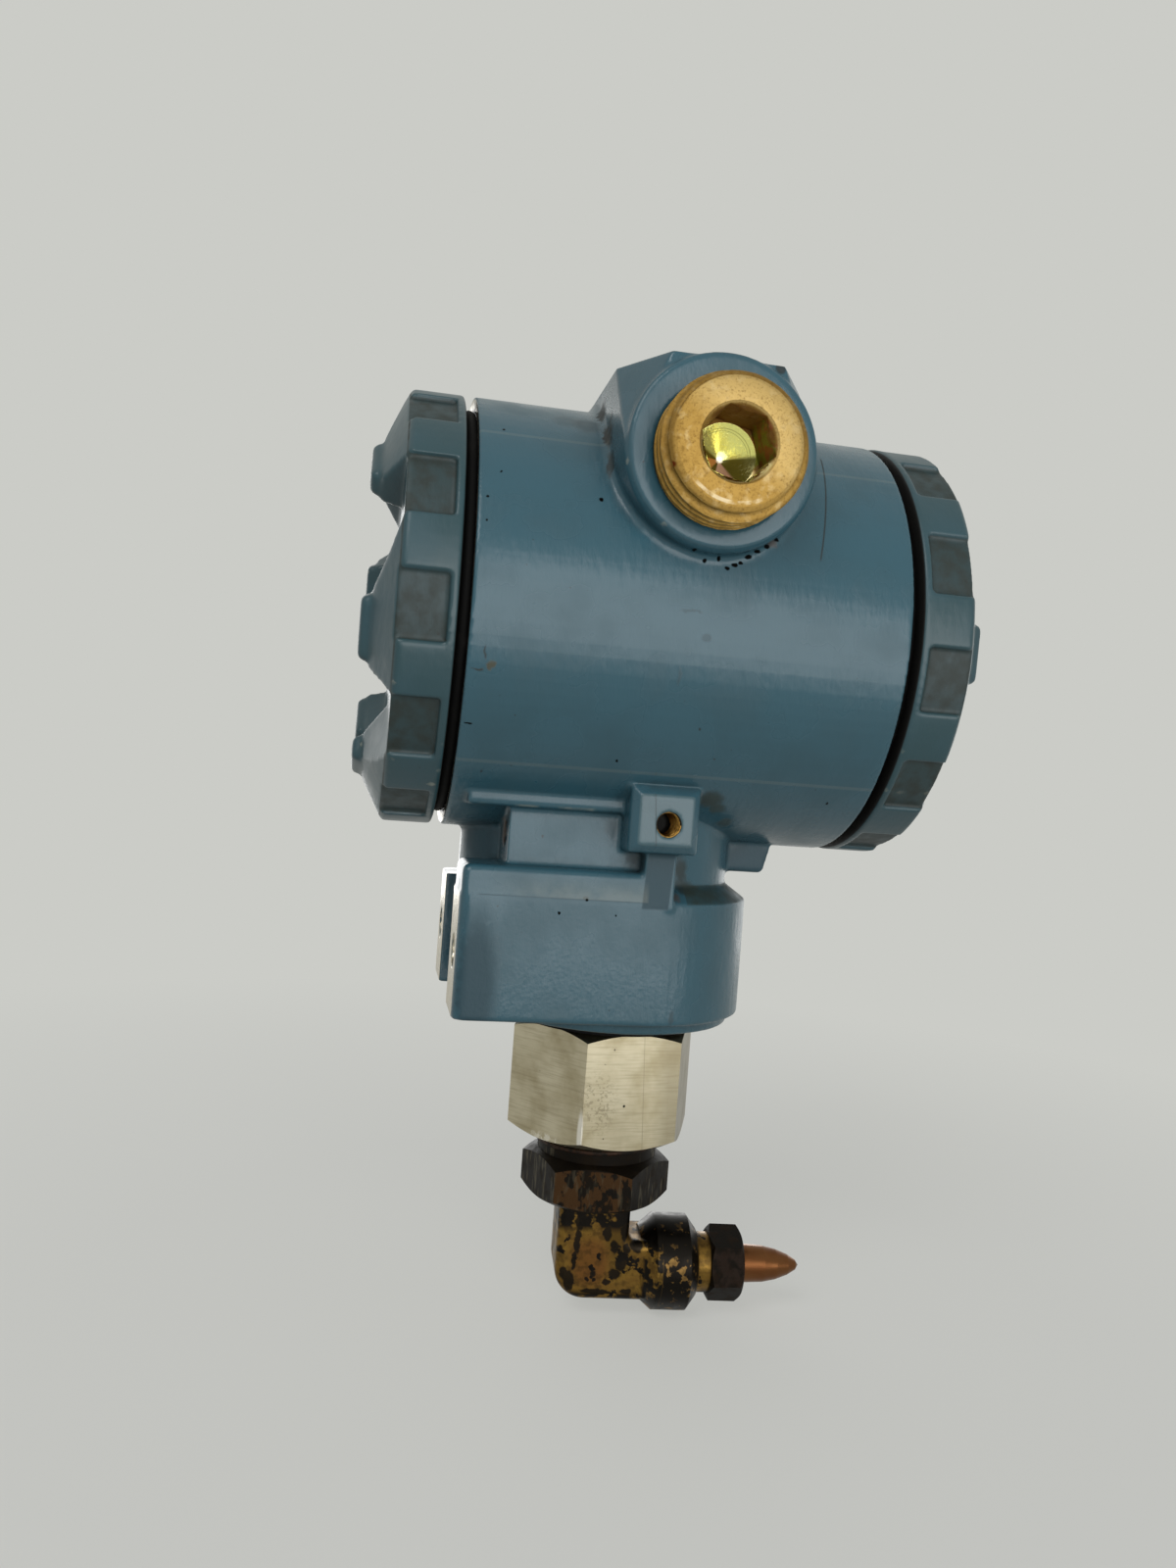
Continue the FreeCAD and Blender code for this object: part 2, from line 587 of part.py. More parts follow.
def make_plug():
    """A hollow-hex pipe plug, standing out of the near conduit entry."""
    out = Y * -1
    body_r = CONDUIT_R - THREAD_FIT
    crest_r = CONDUIT_R + PLUG_CREST
    start = RING_FACE - CONDUIT_DEPTH + PLUG_SHORT
    face = RING_FACE + PLUG_PROUD
    body = turned([(start, 0), (start, body_r - 0.5), (start + 1, body_r), (RING_FACE, body_r),
                   (RING_FACE + 0.6, crest_r), (face - PLUG_CHAMFER, crest_r),
                   (face, crest_r - PLUG_FACE_INSET), (face, 0)], out, CONDUIT_CENTRE)
    floor = face - KEY_DEPTH
    socket = hexagon(KEY_AF, floor, face + 1, out, CONDUIT_CENTRE, KEY_TURN)
    drill = cone(0.05, KEY_AF / 2, floor - DRILL_DEPTH, floor, out, CONDUIT_CENTRE)
    mouth = cone(KEY_AF / 2, KEY_AF / 2 + KEY_MOUTH, face - KEY_MOUTH, face, out, CONDUIT_CENTRE)
    return body.cut([socket, drill, mouth])


def make_sensor():
    """The stainless hexagon, its gasket, and the diaphragm, header and pins inside it."""
    bar = hexagon(SENSOR_AF, HEX_BOTTOM, HEX_TOP, Z, ORIGIN, SENSOR_HEX_TURN, [SENSOR_FACE_R] * 2)
    spigot = cylinder(SENSOR_BORE_R - SEAT_FIT, HEX_TOP, SENSOR_TOP, Z)
    port = cylinder(PORT_R, HEX_BOTTOM - 1, DIAPHRAGM_Z, Z)
    room = cylinder(HEADER_R + SEAT_FIT, HEADER_START, SENSOR_TOP + 1, Z)
    way = cylinder(PORT_R / 5, HEX_BOTTOM, SENSOR_TOP, Z)
    gasket = cylinder(SENSOR_BORE_R + GASKET_WIDTH, HEX_TOP, LIP_BOTTOM, Z)
    can_top = HEADER_START + HEADER_HEIGHT
    pins = []
    for x in (-PIN_SPREAD, PIN_SPREAD):
        for y in (-PIN_SPREAD, PIN_SPREAD):
            pins.append(cylinder(PIN_R, can_top - 0.1, can_top + PIN_HEIGHT, Z, V(x, y, 0)))
    return {"sensor_body": bar.fuse(spigot).cut([port, room, way]),
            "sensor_gasket": gasket.cut(cylinder(SENSOR_BORE_R, HEX_TOP - 1, LIP_BOTTOM + 1, Z)),
            "diaphragm": cylinder(PORT_R - 0.4, DIAPHRAGM_Z - DIAPHRAGM_THICK, DIAPHRAGM_Z, Z),
            "sensor_header": cylinder(HEADER_R, HEADER_START, can_top, Z).fuse(pins)}


def make_ribbon():
    """The flat cable from the sensor's pins through the passage to the board's connector."""
    low = HEADER_START + HEADER_HEIGHT + PIN_HEIGHT + RIBBON_SINK
    rise = low + 1.3
    turn_x = BOARD_BACK + CONNECTOR_DEPTH / 2 + 0.6
    half = RIBBON_THICK / 2
    side = -RIBBON_WIDTH / 2
    outline = [V(PIN_SPREAD + 1, side, low - half), V(turn_x - half, side, rise - half),
               V(turn_x - half, side, CONNECTOR_Z), V(turn_x + half, side, CONNECTOR_Z),
               V(turn_x + half, side, rise + half), V(PIN_SPREAD + 1, side, low + half)]
    return prism(outline, Y * RIBBON_WIDTH)


def make_electronics():
    """The board and what is on it."""
    board = cylinder(BOARD_R, BOARD_FRONT, BOARD_BACK, X)
    holes = []
    screws = []
    for y, z in BOARD_SPOTS:
        holes.append(cylinder(TAP_R + HOLE_FIT, BOARD_FRONT - 1, BOARD_BACK + 1, X, V(0, y, z)))
        seat = V(BOARD_FRONT, y, z)
        screws.append(pan_screw(SMALL_HEAD, BOARD_THICK + TAP_DEPTH - TAP_SHORT, seat, X * -1))
    chips = []
    for y, z, wide, high in CHIPS:
        chips.append(box(BOARD_FRONT - CHIP_HEIGHT, BOARD_FRONT, y, y + wide, z, z + high))
    cans = [cylinder(CAN_R, BOARD_FRONT - CAN_HEIGHT, BOARD_FRONT, X, V(0, y, z)) for y, z in CANS]
    connector = box(BOARD_BACK, BOARD_BACK + CONNECTOR_DEPTH, -CONNECTOR_HALF, CONNECTOR_HALF,
                    CONNECTOR_Z, CONNECTOR_Z + CONNECTOR_HEIGHT)
    return {"circuit_board": board.cut(holes), "board_chips": Part.makeCompound(chips),
            "board_capacitors": Part.makeCompound(cans), "board_connector": connector,
            "board_screws": Part.makeCompound(screws),
            "feedthrough": cylinder(FEED_R, BOARD_BACK, WALL_RIGHT, X, V(0, 0, FEED_Z))}


def make_terminals():
    """The terminal block with its screws, and the ground screw on the wall."""
    block = box(WALL_RIGHT, BLOCK_FACE, -BLOCK_HALF, BLOCK_HALF, BLOCK_BOTTOM, BLOCK_BOTTOM + BLOCK_HEIGHT)
    block = block.makeFillet(BLOCK_CORNER, edges_along(block, X))
    cuts = []
    clamps = []
    screws = []
    for y in (-TERMINAL_PITCH, 0, TERMINAL_PITCH):
        spot = V(0, y, TERMINAL_Z)
        cuts.append(box(POCKET_FLOOR, BLOCK_FACE + 1, y - POCKET_HALF, y + POCKET_HALF,
                        TERMINAL_Z - POCKET_HALF - 1.5, BLOCK_BOTTOM + BLOCK_HEIGHT + 1))
        cuts.append(cylinder(TAP_R, POCKET_FLOOR - CLAMP_SHANK, POCKET_FLOOR + 1, X, spot))
        clamp = box(POCKET_FLOOR, POCKET_FLOOR + CLAMP_THICK, y - CLAMP_HALF, y + CLAMP_HALF,
                    TERMINAL_Z - CLAMP_HALF, TERMINAL_Z + CLAMP_HALF)
        clamps.append(clamp.cut(cylinder(TAP_R, POCKET_FLOOR - 1, BLOCK_FACE, X, spot)))
        screws.append(pan_screw(CLAMP_HEAD, CLAMP_SHANK, V(POCKET_FLOOR + CLAMP_THICK, y, TERMINAL_Z), X))
    holders = []
    for y, z in BLOCK_SPOTS:
        cuts.append(cylinder(TAP_R + HOLE_FIT, WALL_RIGHT - 1, BLOCK_FACE + 1, X, V(0, y, z)))
        holders.append(pan_screw(SMALL_HEAD, BLOCK_DEPTH + TAP_DEPTH - TAP_SHORT, V(BLOCK_FACE, y, z), X))
    earth_seat = V(WALL_RIGHT, EARTH_SPOT[0], EARTH_SPOT[1])
    return {"terminal_block": block.cut(cuts), "clamp_washers": Part.makeCompound(clamps),
            "terminal_screws": Part.makeCompound(screws), "block_screws": Part.makeCompound(holders),
            "inner_ground_screw": pan_screw(EARTH_HEAD, TAP_DEPTH - TAP_SHORT, earth_seat, X)}


def make_lock_screw():
    """The small socket screw in the notch that locks the sensor."""
    body = cylinder(LOCK_R - THREAD_FIT, LOCK_SINK, LOCK_DEPTH - 0.1, X, LOCK_MOUTH)
    return body.cut(hexagon(LOCK_KEY_AF, 0, LOCK_SINK + LOCK_R, X, LOCK_MOUTH, 0))


def make_bushing():
    """The hexagon reducing bushing, screwed up into the sensor's port."""
    bar = hexagon(BUSHING_AF, BUSHING_BOTTOM, BUSHING_TOP, Z, ORIGIN, BUSHING_TURN, BUSHING_FACE_R)
    shoulder = cylinder(BUSHING_SHOULDER_R, BUSHING_TOP - 0.5, HEX_BOTTOM - 0.4, Z)
    thread = cylinder(PORT_R - THREAD_FIT, HEX_BOTTOM - 1, DIAPHRAGM_Z - STUB_GAP, Z)
    bore = cylinder(BUSHING_BORE_R, BUSHING_BOTTOM - 1, DIAPHRAGM_Z, Z)
    return bar.fuse([shoulder, thread]).cut(bore)


def make_elbow(centre):
    """The forged elbow: a bent bar with flats, a threaded top, and a round collar with a stub."""
    top = BUSHING_BOTTOM - ELBOW_Z
    outline = [(-ELBOW_HALF, top), (-ELBOW_HALF, -ELBOW_ARM), (COLLAR_START + 1, -ELBOW_ARM),
               (COLLAR_START + 1, ELBOW_ARM), (ELBOW_HALF, ELBOW_ARM), (ELBOW_HALF, top)]
    bar = prism([centre + V(x, -ELBOW_DEPTH, z) for x, z in outline], Y * (2 * ELBOW_DEPTH))
    heel = [e for e in edges_along(bar, Y)
            if (e.CenterOfMass - centre - V(-ELBOW_HALF, 0, -ELBOW_ARM)).Length < 1e-6]
    bar = bar.makeFillet(ELBOW_CORNER, heel)
    crook = [e for e in edges_along(bar, Y)
             if (e.CenterOfMass - centre - V(ELBOW_HALF, 0, ELBOW_ARM)).Length < 1e-6]
    bar = bar.makeFillet(ELBOW_CROOK, crook)
    rims = []
    for edge in bar.Edges:
        spot = edge.CenterOfMass - centre
        at_end = abs(spot.z - top) < 1e-6 or abs(spot.x - COLLAR_START - 1) < 1e-6
        if abs(abs(spot.y) - ELBOW_DEPTH) < 1e-6 and not at_end:
            rims.append(edge)
    bar = bar.makeFillet(ELBOW_EDGE, rims)
    thread = cylinder(BUSHING_BORE_R - THREAD_FIT, top - 0.5, top + ELBOW_THREAD, Z, centre)
    flare, flare_drop = COLLAR_FLARE
    nose, nose_drop = COLLAR_NOSE
    stub_end = COLLAR_END + STUB_LENGTH
    collar = turned([(COLLAR_START, 0), (COLLAR_START, COLLAR_R - flare_drop),
                     (COLLAR_START + flare, COLLAR_R), (COLLAR_END - nose, COLLAR_R),
                     (COLLAR_END, COLLAR_R - nose_drop), (COLLAR_END, STUB_R), (stub_end, STUB_R),
                     (stub_end, 0)], X, centre)
    tube_start = COLLAR_END - TUBE_SOCKET
    bores = [cylinder(ELBOW_BORE_R, 0, top + ELBOW_THREAD + 1, Z, centre),
             cylinder(ELBOW_BORE_R, -ELBOW_BORE_R / 2, tube_start, X, centre),
             cylinder(TUBE_R + THREAD_FIT, tube_start, stub_end + 1, X, centre)]
    return bar.fuse([thread, collar]).cut(bores).removeSplitter()


def make_outlet():
    """The elbow, nut, ferrule and closed tube; built along X and turned to the outlet's direction."""
    centre = V(0, 0, ELBOW_Z)
    stub_end = COLLAR_END + STUB_LENGTH
    stub_room = STUB_R + THREAD_FIT
    back = stub_end + FERRULE_LENGTH
    ferrule_r = TUBE_R + FERRULE_WALL
    tube_room = TUBE_R + 2 * THREAD_FIT
    nut = hexagon(NUT_AF, NUT_START, NUT_END, X, centre, NUT_TURN, [NUT_FACE_R] * 2)
    room = turned([(NUT_START - 1, 0), (NUT_START - 1, stub_room), (stub_end + 0.1, stub_room),
                   (stub_end + 0.1, ferrule_r + 0.1), (back + 0.1, ferrule_r - FERRULE_TAPER + 0.1),
                   (back + 0.1, tube_room), (NUT_END + 1, tube_room), (NUT_END + 1, 0)], X, centre)
    ferrule = turned([(stub_end, TUBE_R + THREAD_FIT), (stub_end, ferrule_r),
                      (back, ferrule_r - FERRULE_TAPER), (back, TUBE_R + THREAD_FIT)], X, centre)
    start = COLLAR_END - TUBE_SOCKET + 0.2
    shoulder = TUBE_TIP - TUBE_POINT
    bore_r = TUBE_R - TUBE_WALL
    outline = [(start, bore_r), (start, TUBE_R), (shoulder, TUBE_R)]
    for along, share in ((0.3, 0.95), (0.55, 0.8), (0.78, 0.55), (0.94, 0.27), (1.0, 0.0)):
        outline.append((shoulder + along * TUBE_POINT, share * TUBE_R))
    outline += [(shoulder + 0.4 * TUBE_POINT, 0), (shoulder, bore_r)]
    pieces = {"elbow": make_elbow(centre), "tube_nut": nut.cut(room), "ferrule": ferrule,
              "copper_tube": turned(outline, X, centre)}
    for shape in pieces.values():
        shape.rotate(centre, Z, OUTLET_TURN)
    return pieces


def build():
    """Every piece by name, in the working frame."""
    pieces = {
        "housing": make_housing(),
        "circuit_cover": make_cover(X * -1, BARREL_LEFT, LEFT_COVER_TURN),
        "terminal_cover": make_cover(X, BARREL_RIGHT, RIGHT_COVER_TURN),
        "circuit_cover_seal": make_seal(X * -1, BARREL_LEFT),
        "terminal_cover_seal": make_seal(X, BARREL_RIGHT),
        "conduit_plug": make_plug(),
        "sensor_ribbon": make_ribbon(),
        "lock_screw": make_lock_screw(),
        "bushing": make_bushing(),
    }
    pieces.update(make_sensor())
    pieces.update(make_electronics())
    pieces.update(make_terminals())
    pieces.update(make_outlet())
    return pieces


os.makedirs("parts", exist_ok=True)
to_mount = V(-PAD_FACE, 0, -BRACKET_Z)
for name, piece in build().items():
    piece.translate(to_mount)
    piece.exportStep(f"parts/{name}.step")
    print(name, piece.isValid(), len(piece.Solids), round(piece.Volume, 1))
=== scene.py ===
"""Finishes, screw threads, conduit plug and studio for a pressure transmitter."""
import math

import bmesh
import bpy
from bpy.props import FloatProperty, FloatVectorProperty, IntProperty, PointerProperty
from mathutils import Matrix, Vector


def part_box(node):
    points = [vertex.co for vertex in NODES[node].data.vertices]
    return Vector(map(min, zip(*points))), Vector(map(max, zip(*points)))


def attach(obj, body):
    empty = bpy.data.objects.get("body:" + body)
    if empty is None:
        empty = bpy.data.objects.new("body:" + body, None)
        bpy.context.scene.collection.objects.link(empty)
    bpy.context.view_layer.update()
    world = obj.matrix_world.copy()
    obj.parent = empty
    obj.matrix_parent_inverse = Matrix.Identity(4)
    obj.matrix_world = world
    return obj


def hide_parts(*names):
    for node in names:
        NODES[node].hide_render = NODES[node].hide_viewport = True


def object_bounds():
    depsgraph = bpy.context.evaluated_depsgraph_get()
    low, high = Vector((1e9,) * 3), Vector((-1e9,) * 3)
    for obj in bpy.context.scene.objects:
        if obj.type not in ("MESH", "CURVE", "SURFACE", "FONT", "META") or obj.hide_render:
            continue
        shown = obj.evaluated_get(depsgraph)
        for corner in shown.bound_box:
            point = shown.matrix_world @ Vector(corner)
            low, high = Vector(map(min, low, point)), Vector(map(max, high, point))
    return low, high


bl_info = {
    "name": "Pressure Transmitter Finishes",
    "version": (1, 0, 0),
    "blender": (4, 5, 0),
    "location": "3D View > Sidebar > Transmitter",
    "description": "Paints, plates and wears the pieces of a cast pressure transmitter",
    "category": "Object",
}

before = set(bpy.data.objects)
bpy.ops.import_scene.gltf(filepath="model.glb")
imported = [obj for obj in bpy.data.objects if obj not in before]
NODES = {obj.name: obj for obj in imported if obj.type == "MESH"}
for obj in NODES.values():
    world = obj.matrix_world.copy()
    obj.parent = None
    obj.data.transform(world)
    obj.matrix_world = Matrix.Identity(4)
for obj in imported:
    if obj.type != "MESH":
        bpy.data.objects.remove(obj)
CAD_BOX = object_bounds()

# Places and sizes on the object, in millimetres, in the frame of the bracket holes
BARREL_AXIS = (0.0, 0.0, 54.2)
BARREL_ENDS = (-2.5, 63.8)
BORE_R = 31.4
CONDUIT_AXIS = (31.7, 0.0, 75.9)
ENTRY_R = 10.35
RING_FACE = 38.0
GROUND_HOLE = (30.9, -25.6, 22.2)
BRACKET_HOLES = (0.0, 15.875, 0.0)
COVER_SEATS = {"circuit_cover": (-4.2, -1.0), "terminal_cover": (65.5, 1.0)}
SPIGOT_R = 31.0
WINDOW_FLOOR_R = (34.2, 34.75)
WINDOW_DEPTHS = (1.2, 8.6)
LOBE_DEPTH = 8.0
LOBE_R = 32.6
BODY_HEIGHTS = (-30, 26)
PAD_EDGE = 0.6
KEY_DEPTH = 7.5
SOCKET_R = 5.6
CONE_R = 4.7
DRILL_DEPTH = 2.8
PLUG_TAPER = 1.9
PLUG_THREAD_R = (7.6, 11)

# Fineness of the meshes, and rounds of smoothing all over a casting
MOST_TRIANGLES = 180000
SHARP_ANGLE = math.radians(32)
THREAD_STEPS = 72
CAST_ROUNDS = 2

# The studio in metres, and the camera that was fitted to the photograph
FLOOR_R = 0.32
FLOOR_GAP = 0.0004
STUDIO_AIM = (0.03, 0, 0.05)
CAMERA_EYE = (-0.01495, -0.20079, 0.02915)
CAMERA_AXES = ((0.9804, -0.1824, 0.0744), (-0.0715, 0.0223, 0.9972), (-0.1835, -0.9830, 0.0089))
FOCAL_PIXELS = 1202
PHOTO_HEIGHT = 1600
SENSOR_MM = (36, 27)

# Soft lamps: name, place and size in metres, roll in degrees, and the light level that each one takes
LAMPS = (("key", (0.288, -0.962, -0.06), (1.3, 0.88), -36, "key"),
         ("side", (-0.45, -0.65, 0.72), (0.5, 0.5), 0, "side"),
         ("back", (0.1, 1.0, 0.14), (0.8, 0.5), 0, "back"),
         ("left", (-0.62, 0.84, 0.1), (0.6, 0.5), 0, "ends"),
         ("right", (0.78, 0.76, 0.1), (0.5, 0.5), 0, "ends"))


def linear(code):
    """The linear colour of an sRGB hex code, with full alpha; a linear colour stays as it is."""
    if not isinstance(code, str):
        return code
    parts = [int(code[i:i + 2], 16) / 255 for i in (0, 2, 4)]
    return tuple(p / 12.92 if p <= 0.04045 else ((p + 0.055) / 1.055) ** 2.4 for p in parts) + (1.0,)


def colour(name, code, description):
    """A colour that a user may change, from its hex code."""
    return FloatVectorProperty(name=name, description=description, subtype="COLOR", size=4, min=0.0, max=1.0,
                               default=linear(code))


def length(name, metres, description):
    """A length that a user may change."""
    return FloatProperty(name=name, description=description, default=metres, min=0.0, precision=5,
                         subtype="DISTANCE", unit="LENGTH")


def power(name, watts, description):
    """A lamp's power that a user may change."""
    return FloatProperty(name=name, description=description, default=watts, min=0.0, subtype="POWER",
                         unit="POWER")


def tally(name, number, least, most, description):
    """A whole number that a user may change."""
    return IntProperty(name=name, description=description, default=number, min=least, max=most)


class TransmitterColours(bpy.types.PropertyGroup):
    """Colours of the finishes."""
    enamel: colour("Enamel", "355C69", "Blue enamel on the casting")
    cover_enamel: colour("Cover enamel", "2B494F", "Soiled blue enamel on the covers")
    enamel_dull: colour("Dull enamel", "31505A", "Enamel where it is rubbed and soiled")
    # Deep enamel is painted shade on faces turned from the light, and also draws the mould lines
    enamel_shade_and_seam: colour("Deep enamel", "213C46", "Enamel where it ran thick, on the web and the lug")
    # Grime is also painted as shade in the corners and creases of the enamel
    grime_and_shade: colour("Grime", "171813", "Dirt in corners")
    window_soil: colour("Window soil", "1F2824", "Dried dirt on the floors of the covers' windows")
    # This pale colour is laid on worn edges, with painted highlights along them, and on the paler band and
    # boss face of the body
    worn_edge_and_highlight: colour("Worn edge", "A5A696", "Primer and metal showing through at edges")
    machined: colour("Machined aluminium", "BDB5A2", "Cut faces of the casting")
    rust: colour("Rust", "5A3A1C", "Rust stains")
    chip: colour("Chip", "0C0B0A", "Dark metal where the paint has chipped")
    stain: colour("Brown stain", "453C1C", "Dried brown spot on the barrel")
    verdigris: colour("Green dirt", "2A332C", "Greenish dirt beside the ground boss")
    rubber: colour("Rubber", "060606", "Seals and gasket")
    zinc: colour("Yellow zinc", "AB8A49", "Yellow passivated plug")
    zinc_dark: colour("Dull zinc", "8E6E35", "Plating where it is thin or soiled")
    steel: colour("Stainless steel", "C9C0A6", "Sensor hexagon")
    steel_dark: colour("Stained steel", "9E9273", "Hexagon where it is stained")
    brass: colour("Brass", "82642A", "Fittings under the tarnish")
    brass_red: colour("Reddish brass", "6B431F", "Fittings where zinc has gone from the brass")
    tarnish: colour("Tarnish", "15110C", "Black tarnish on the fittings")
    copper: colour("Copper", "764F30", "Tube stub")
    board: colour("Solder mask", "1C5A34", "Circuit board")
    floor: colour("Floor", "F1F1ED", "Studio floor")
    backdrop: colour("Backdrop", "CBCCC7", "Background seen by the camera")


class TransmitterSizes(bpy.types.PropertyGroup):
    """Sizes of the details that are added to the frame."""
    plug_pitch: length("Plug pitch", 0.001814, "Pitch of the plug's pipe thread")
    plug_thread: length("Plug thread depth", 0.0011, "Depth of the plug's pipe thread")
    plug_columns: tally("Plug columns", 180, 36, 360, "Faces round the plug")
    bracket_pitch: length("Bracket pitch", 0.00127, "Pitch of the bracket holes' threads")
    ground_pitch: length("Ground pitch", 0.0007, "Pitch of the ground hole's thread")
    conduit_pitch: length("Conduit pitch", 0.001814, "Pitch of the open conduit entry's thread")
    cover_pitch: length("Cover pitch", 0.0015, "Pitch of the covers' threads")
    cover_grid: length("Cover grid", 0.00034, "Size of the faces on the softened covers")
    cover_softening: tally("Cover softening", 5, 0, 20, "Rounds of smoothing on the covers' lobes")
    housing_grid: length("Housing grid", 0.00034, "Size of the faces on the softened housing")
    housing_softening: tally("Housing softening", 1, 0, 20, "Rounds of smoothing below the barrel")


class TransmitterStage(bpy.types.PropertyGroup):
    """Light levels of the studio."""
    key: power("Key", 8.4, "Large soft light behind the camera")
    side: power("Side", 2.7, "Soft light from the upper left")
    back: power("Back", 3.0, "Low soft light from behind")
    ends: power("Ends", 0.75, "Low soft light on each of the covers")
    sky: FloatProperty(name="Sky", description="Even light from all round", default=0.26, min=0.0, max=2.0)


def wire(node, inputs):
    """Gives each input of a node its value, or links it from a socket."""
    for key, value in inputs.items():
        if isinstance(value, bpy.types.NodeSocket):
            node.id_data.links.new(value, node.inputs[key])
        else:
            node.inputs[key].default_value = value


def add(tree, kind, inputs=None, **settings):
    """One node with its settings; each input is a value, or a socket to link from."""
    node = tree.nodes.new(kind)
    for key, value in settings.items():
        setattr(node, key, value)
    wire(node, inputs or {})
    return node


def new_material(name):
    """A material with its tree, its shader and its object coordinates in millimetres."""
    made = bpy.data.materials.new(name)
    made.use_nodes = True
    tree = made.node_tree
    place = add(tree, "ShaderNodeTexCoord")
    mm = add(tree, "ShaderNodeVectorMath", {0: place.outputs["Object"], 1: (1000, 1000, 1000)},
             operation="MULTIPLY")
    return made, tree, tree.nodes["Principled BSDF"], mm.outputs[0]


def blotches(mm, size, low, high, detail=3.0, seed=0.0, stretch=(1, 1, 1)):
    """A mask of patches about size millimetres wide, which starts at low and is full at high."""
    tree = mm.id_data
    at = add(tree, "ShaderNodeVectorMath", {0: mm, 1: stretch}, operation="MULTIPLY")
    noise = add(tree, "ShaderNodeTexNoise", {"Vector": at.outputs[0], "W": seed, "Scale": 1 / size,
                                             "Detail": detail}, noise_dimensions="4D")
    return graded(noise.outputs[0], start=low, full=high, blend="SMOOTHSTEP")


def near(mm, centre, reach, soft=0.5):
    """A mask that is full at a point and gone at its reach, which may differ along x, y and z."""
    tree = mm.id_data
    away = add(tree, "ShaderNodeVectorMath", {0: mm, 1: centre}, operation="SUBTRACT")
    share = add(tree, "ShaderNodeVectorMath", {0: away.outputs[0], 1: reach}, operation="DIVIDE")
    far = add(tree, "ShaderNodeVectorMath", {0: share.outputs[0]}, operation="LENGTH")
    return graded(far.outputs["Value"], start=1.0, full=1 - soft, blend="SMOOTHSTEP")


def ragged(mm, amount):
    """Coordinates pushed about by noise, so that a mark drawn in them has a torn edge."""
    tree = mm.id_data
    noise = add(tree, "ShaderNodeTexNoise", {"Vector": mm, "Scale": 0.8, "Detail": 4.0})
    push = add(tree, "ShaderNodeVectorMath", {0: noise.outputs[1], 1: (0.5, 0.5, 0.5)}, operation="SUBTRACT")
    return add(tree, "ShaderNodeVectorMath", {0: push.outputs[0], 1: (amount, amount, amount), 2: mm},
               operation="MULTIPLY_ADD").outputs[0]


def off_axis(mm, centre, keep):
    """How far a point is from a line: keep is 0 along the line and 1 across it."""
    tree = mm.id_data
    away = add(tree, "ShaderNodeVectorMath", {0: mm, 1: centre}, operation="SUBTRACT")
    across = add(tree, "ShaderNodeVectorMath", {0: away.outputs[0], 1: keep}, operation="MULTIPLY")
    return add(tree, "ShaderNodeVectorMath", {0: across.outputs[0]}, operation="LENGTH").outputs["Value"]


def along(mm, direction):
    """A point's place along a direction."""
    dot = add(mm.id_data, "ShaderNodeVectorMath", {0: mm, 1: direction}, operation="DOT_PRODUCT")
    return dot.outputs["Value"]


def graded(value, low=0.0, high=1.0, start=0.0, full=1.0, blend="LINEAR"):
    """A number that runs from low to high as a value goes from its start to full."""
    ramp = add(value.id_data, "ShaderNodeMapRange", {
        "Value": value, "From Min": start, "From Max": full, "To Min": low, "To Max": high},
        interpolation_type=blend)
    return ramp.outputs["Result"]


def between(value, low, high, soft=0.05):
    """A mask that is full between two values and fades to nothing a little outside them."""
    tree = value.id_data
    off = add(tree, "ShaderNodeMath", {0: value, 1: (low + high) / 2}, operation="SUBTRACT")
    size = add(tree, "ShaderNodeMath", {0: off.outputs[0]}, operation="ABSOLUTE")
    half = (high - low) / 2
    return graded(size.outputs[0], start=half + soft, full=half)


def facing(mm, direction):
    """A mask of the flats that face a direction."""
    surface = add(mm.id_data, "ShaderNodeNewGeometry")
    return between(along(surface.outputs["Normal"], direction), 0.97, 1.5, 0.03)


def both(*masks):
    """Where every mask is full; a number after the first mask weakens them."""
    result = masks[0]
    for mask in masks[1:]:
        result = add(result.id_data, "ShaderNodeMath", {0: result, 1: mask}, operation="MULTIPLY").outputs[0]
    return result


def either(*masks):
    """Where any mask is full."""
    result = masks[0]
    for mask in masks[1:]:
        result = add(result.id_data, "ShaderNodeMath", {0: result, 1: mask}, operation="MAXIMUM").outputs[0]
    return result


def layered(base, layers):
    """A colour with others laid over it, each where its mask says; the first mask is a socket."""
    tree = layers[0][0].id_data
    result = linear(base)
    for mask, tone in layers:
        mix = add(tree, "ShaderNodeMix", {0: mask, 6: result, 7: linear(tone)}, data_type="RGBA")
        result = mix.outputs[2]
    return result


def dress(made, *names):
    """Puts a material on frame nodes in place of the one they came with."""
    for name in names:
        mesh = NODES[name].data
        mesh.materials.clear()
        mesh.materials.append(made)


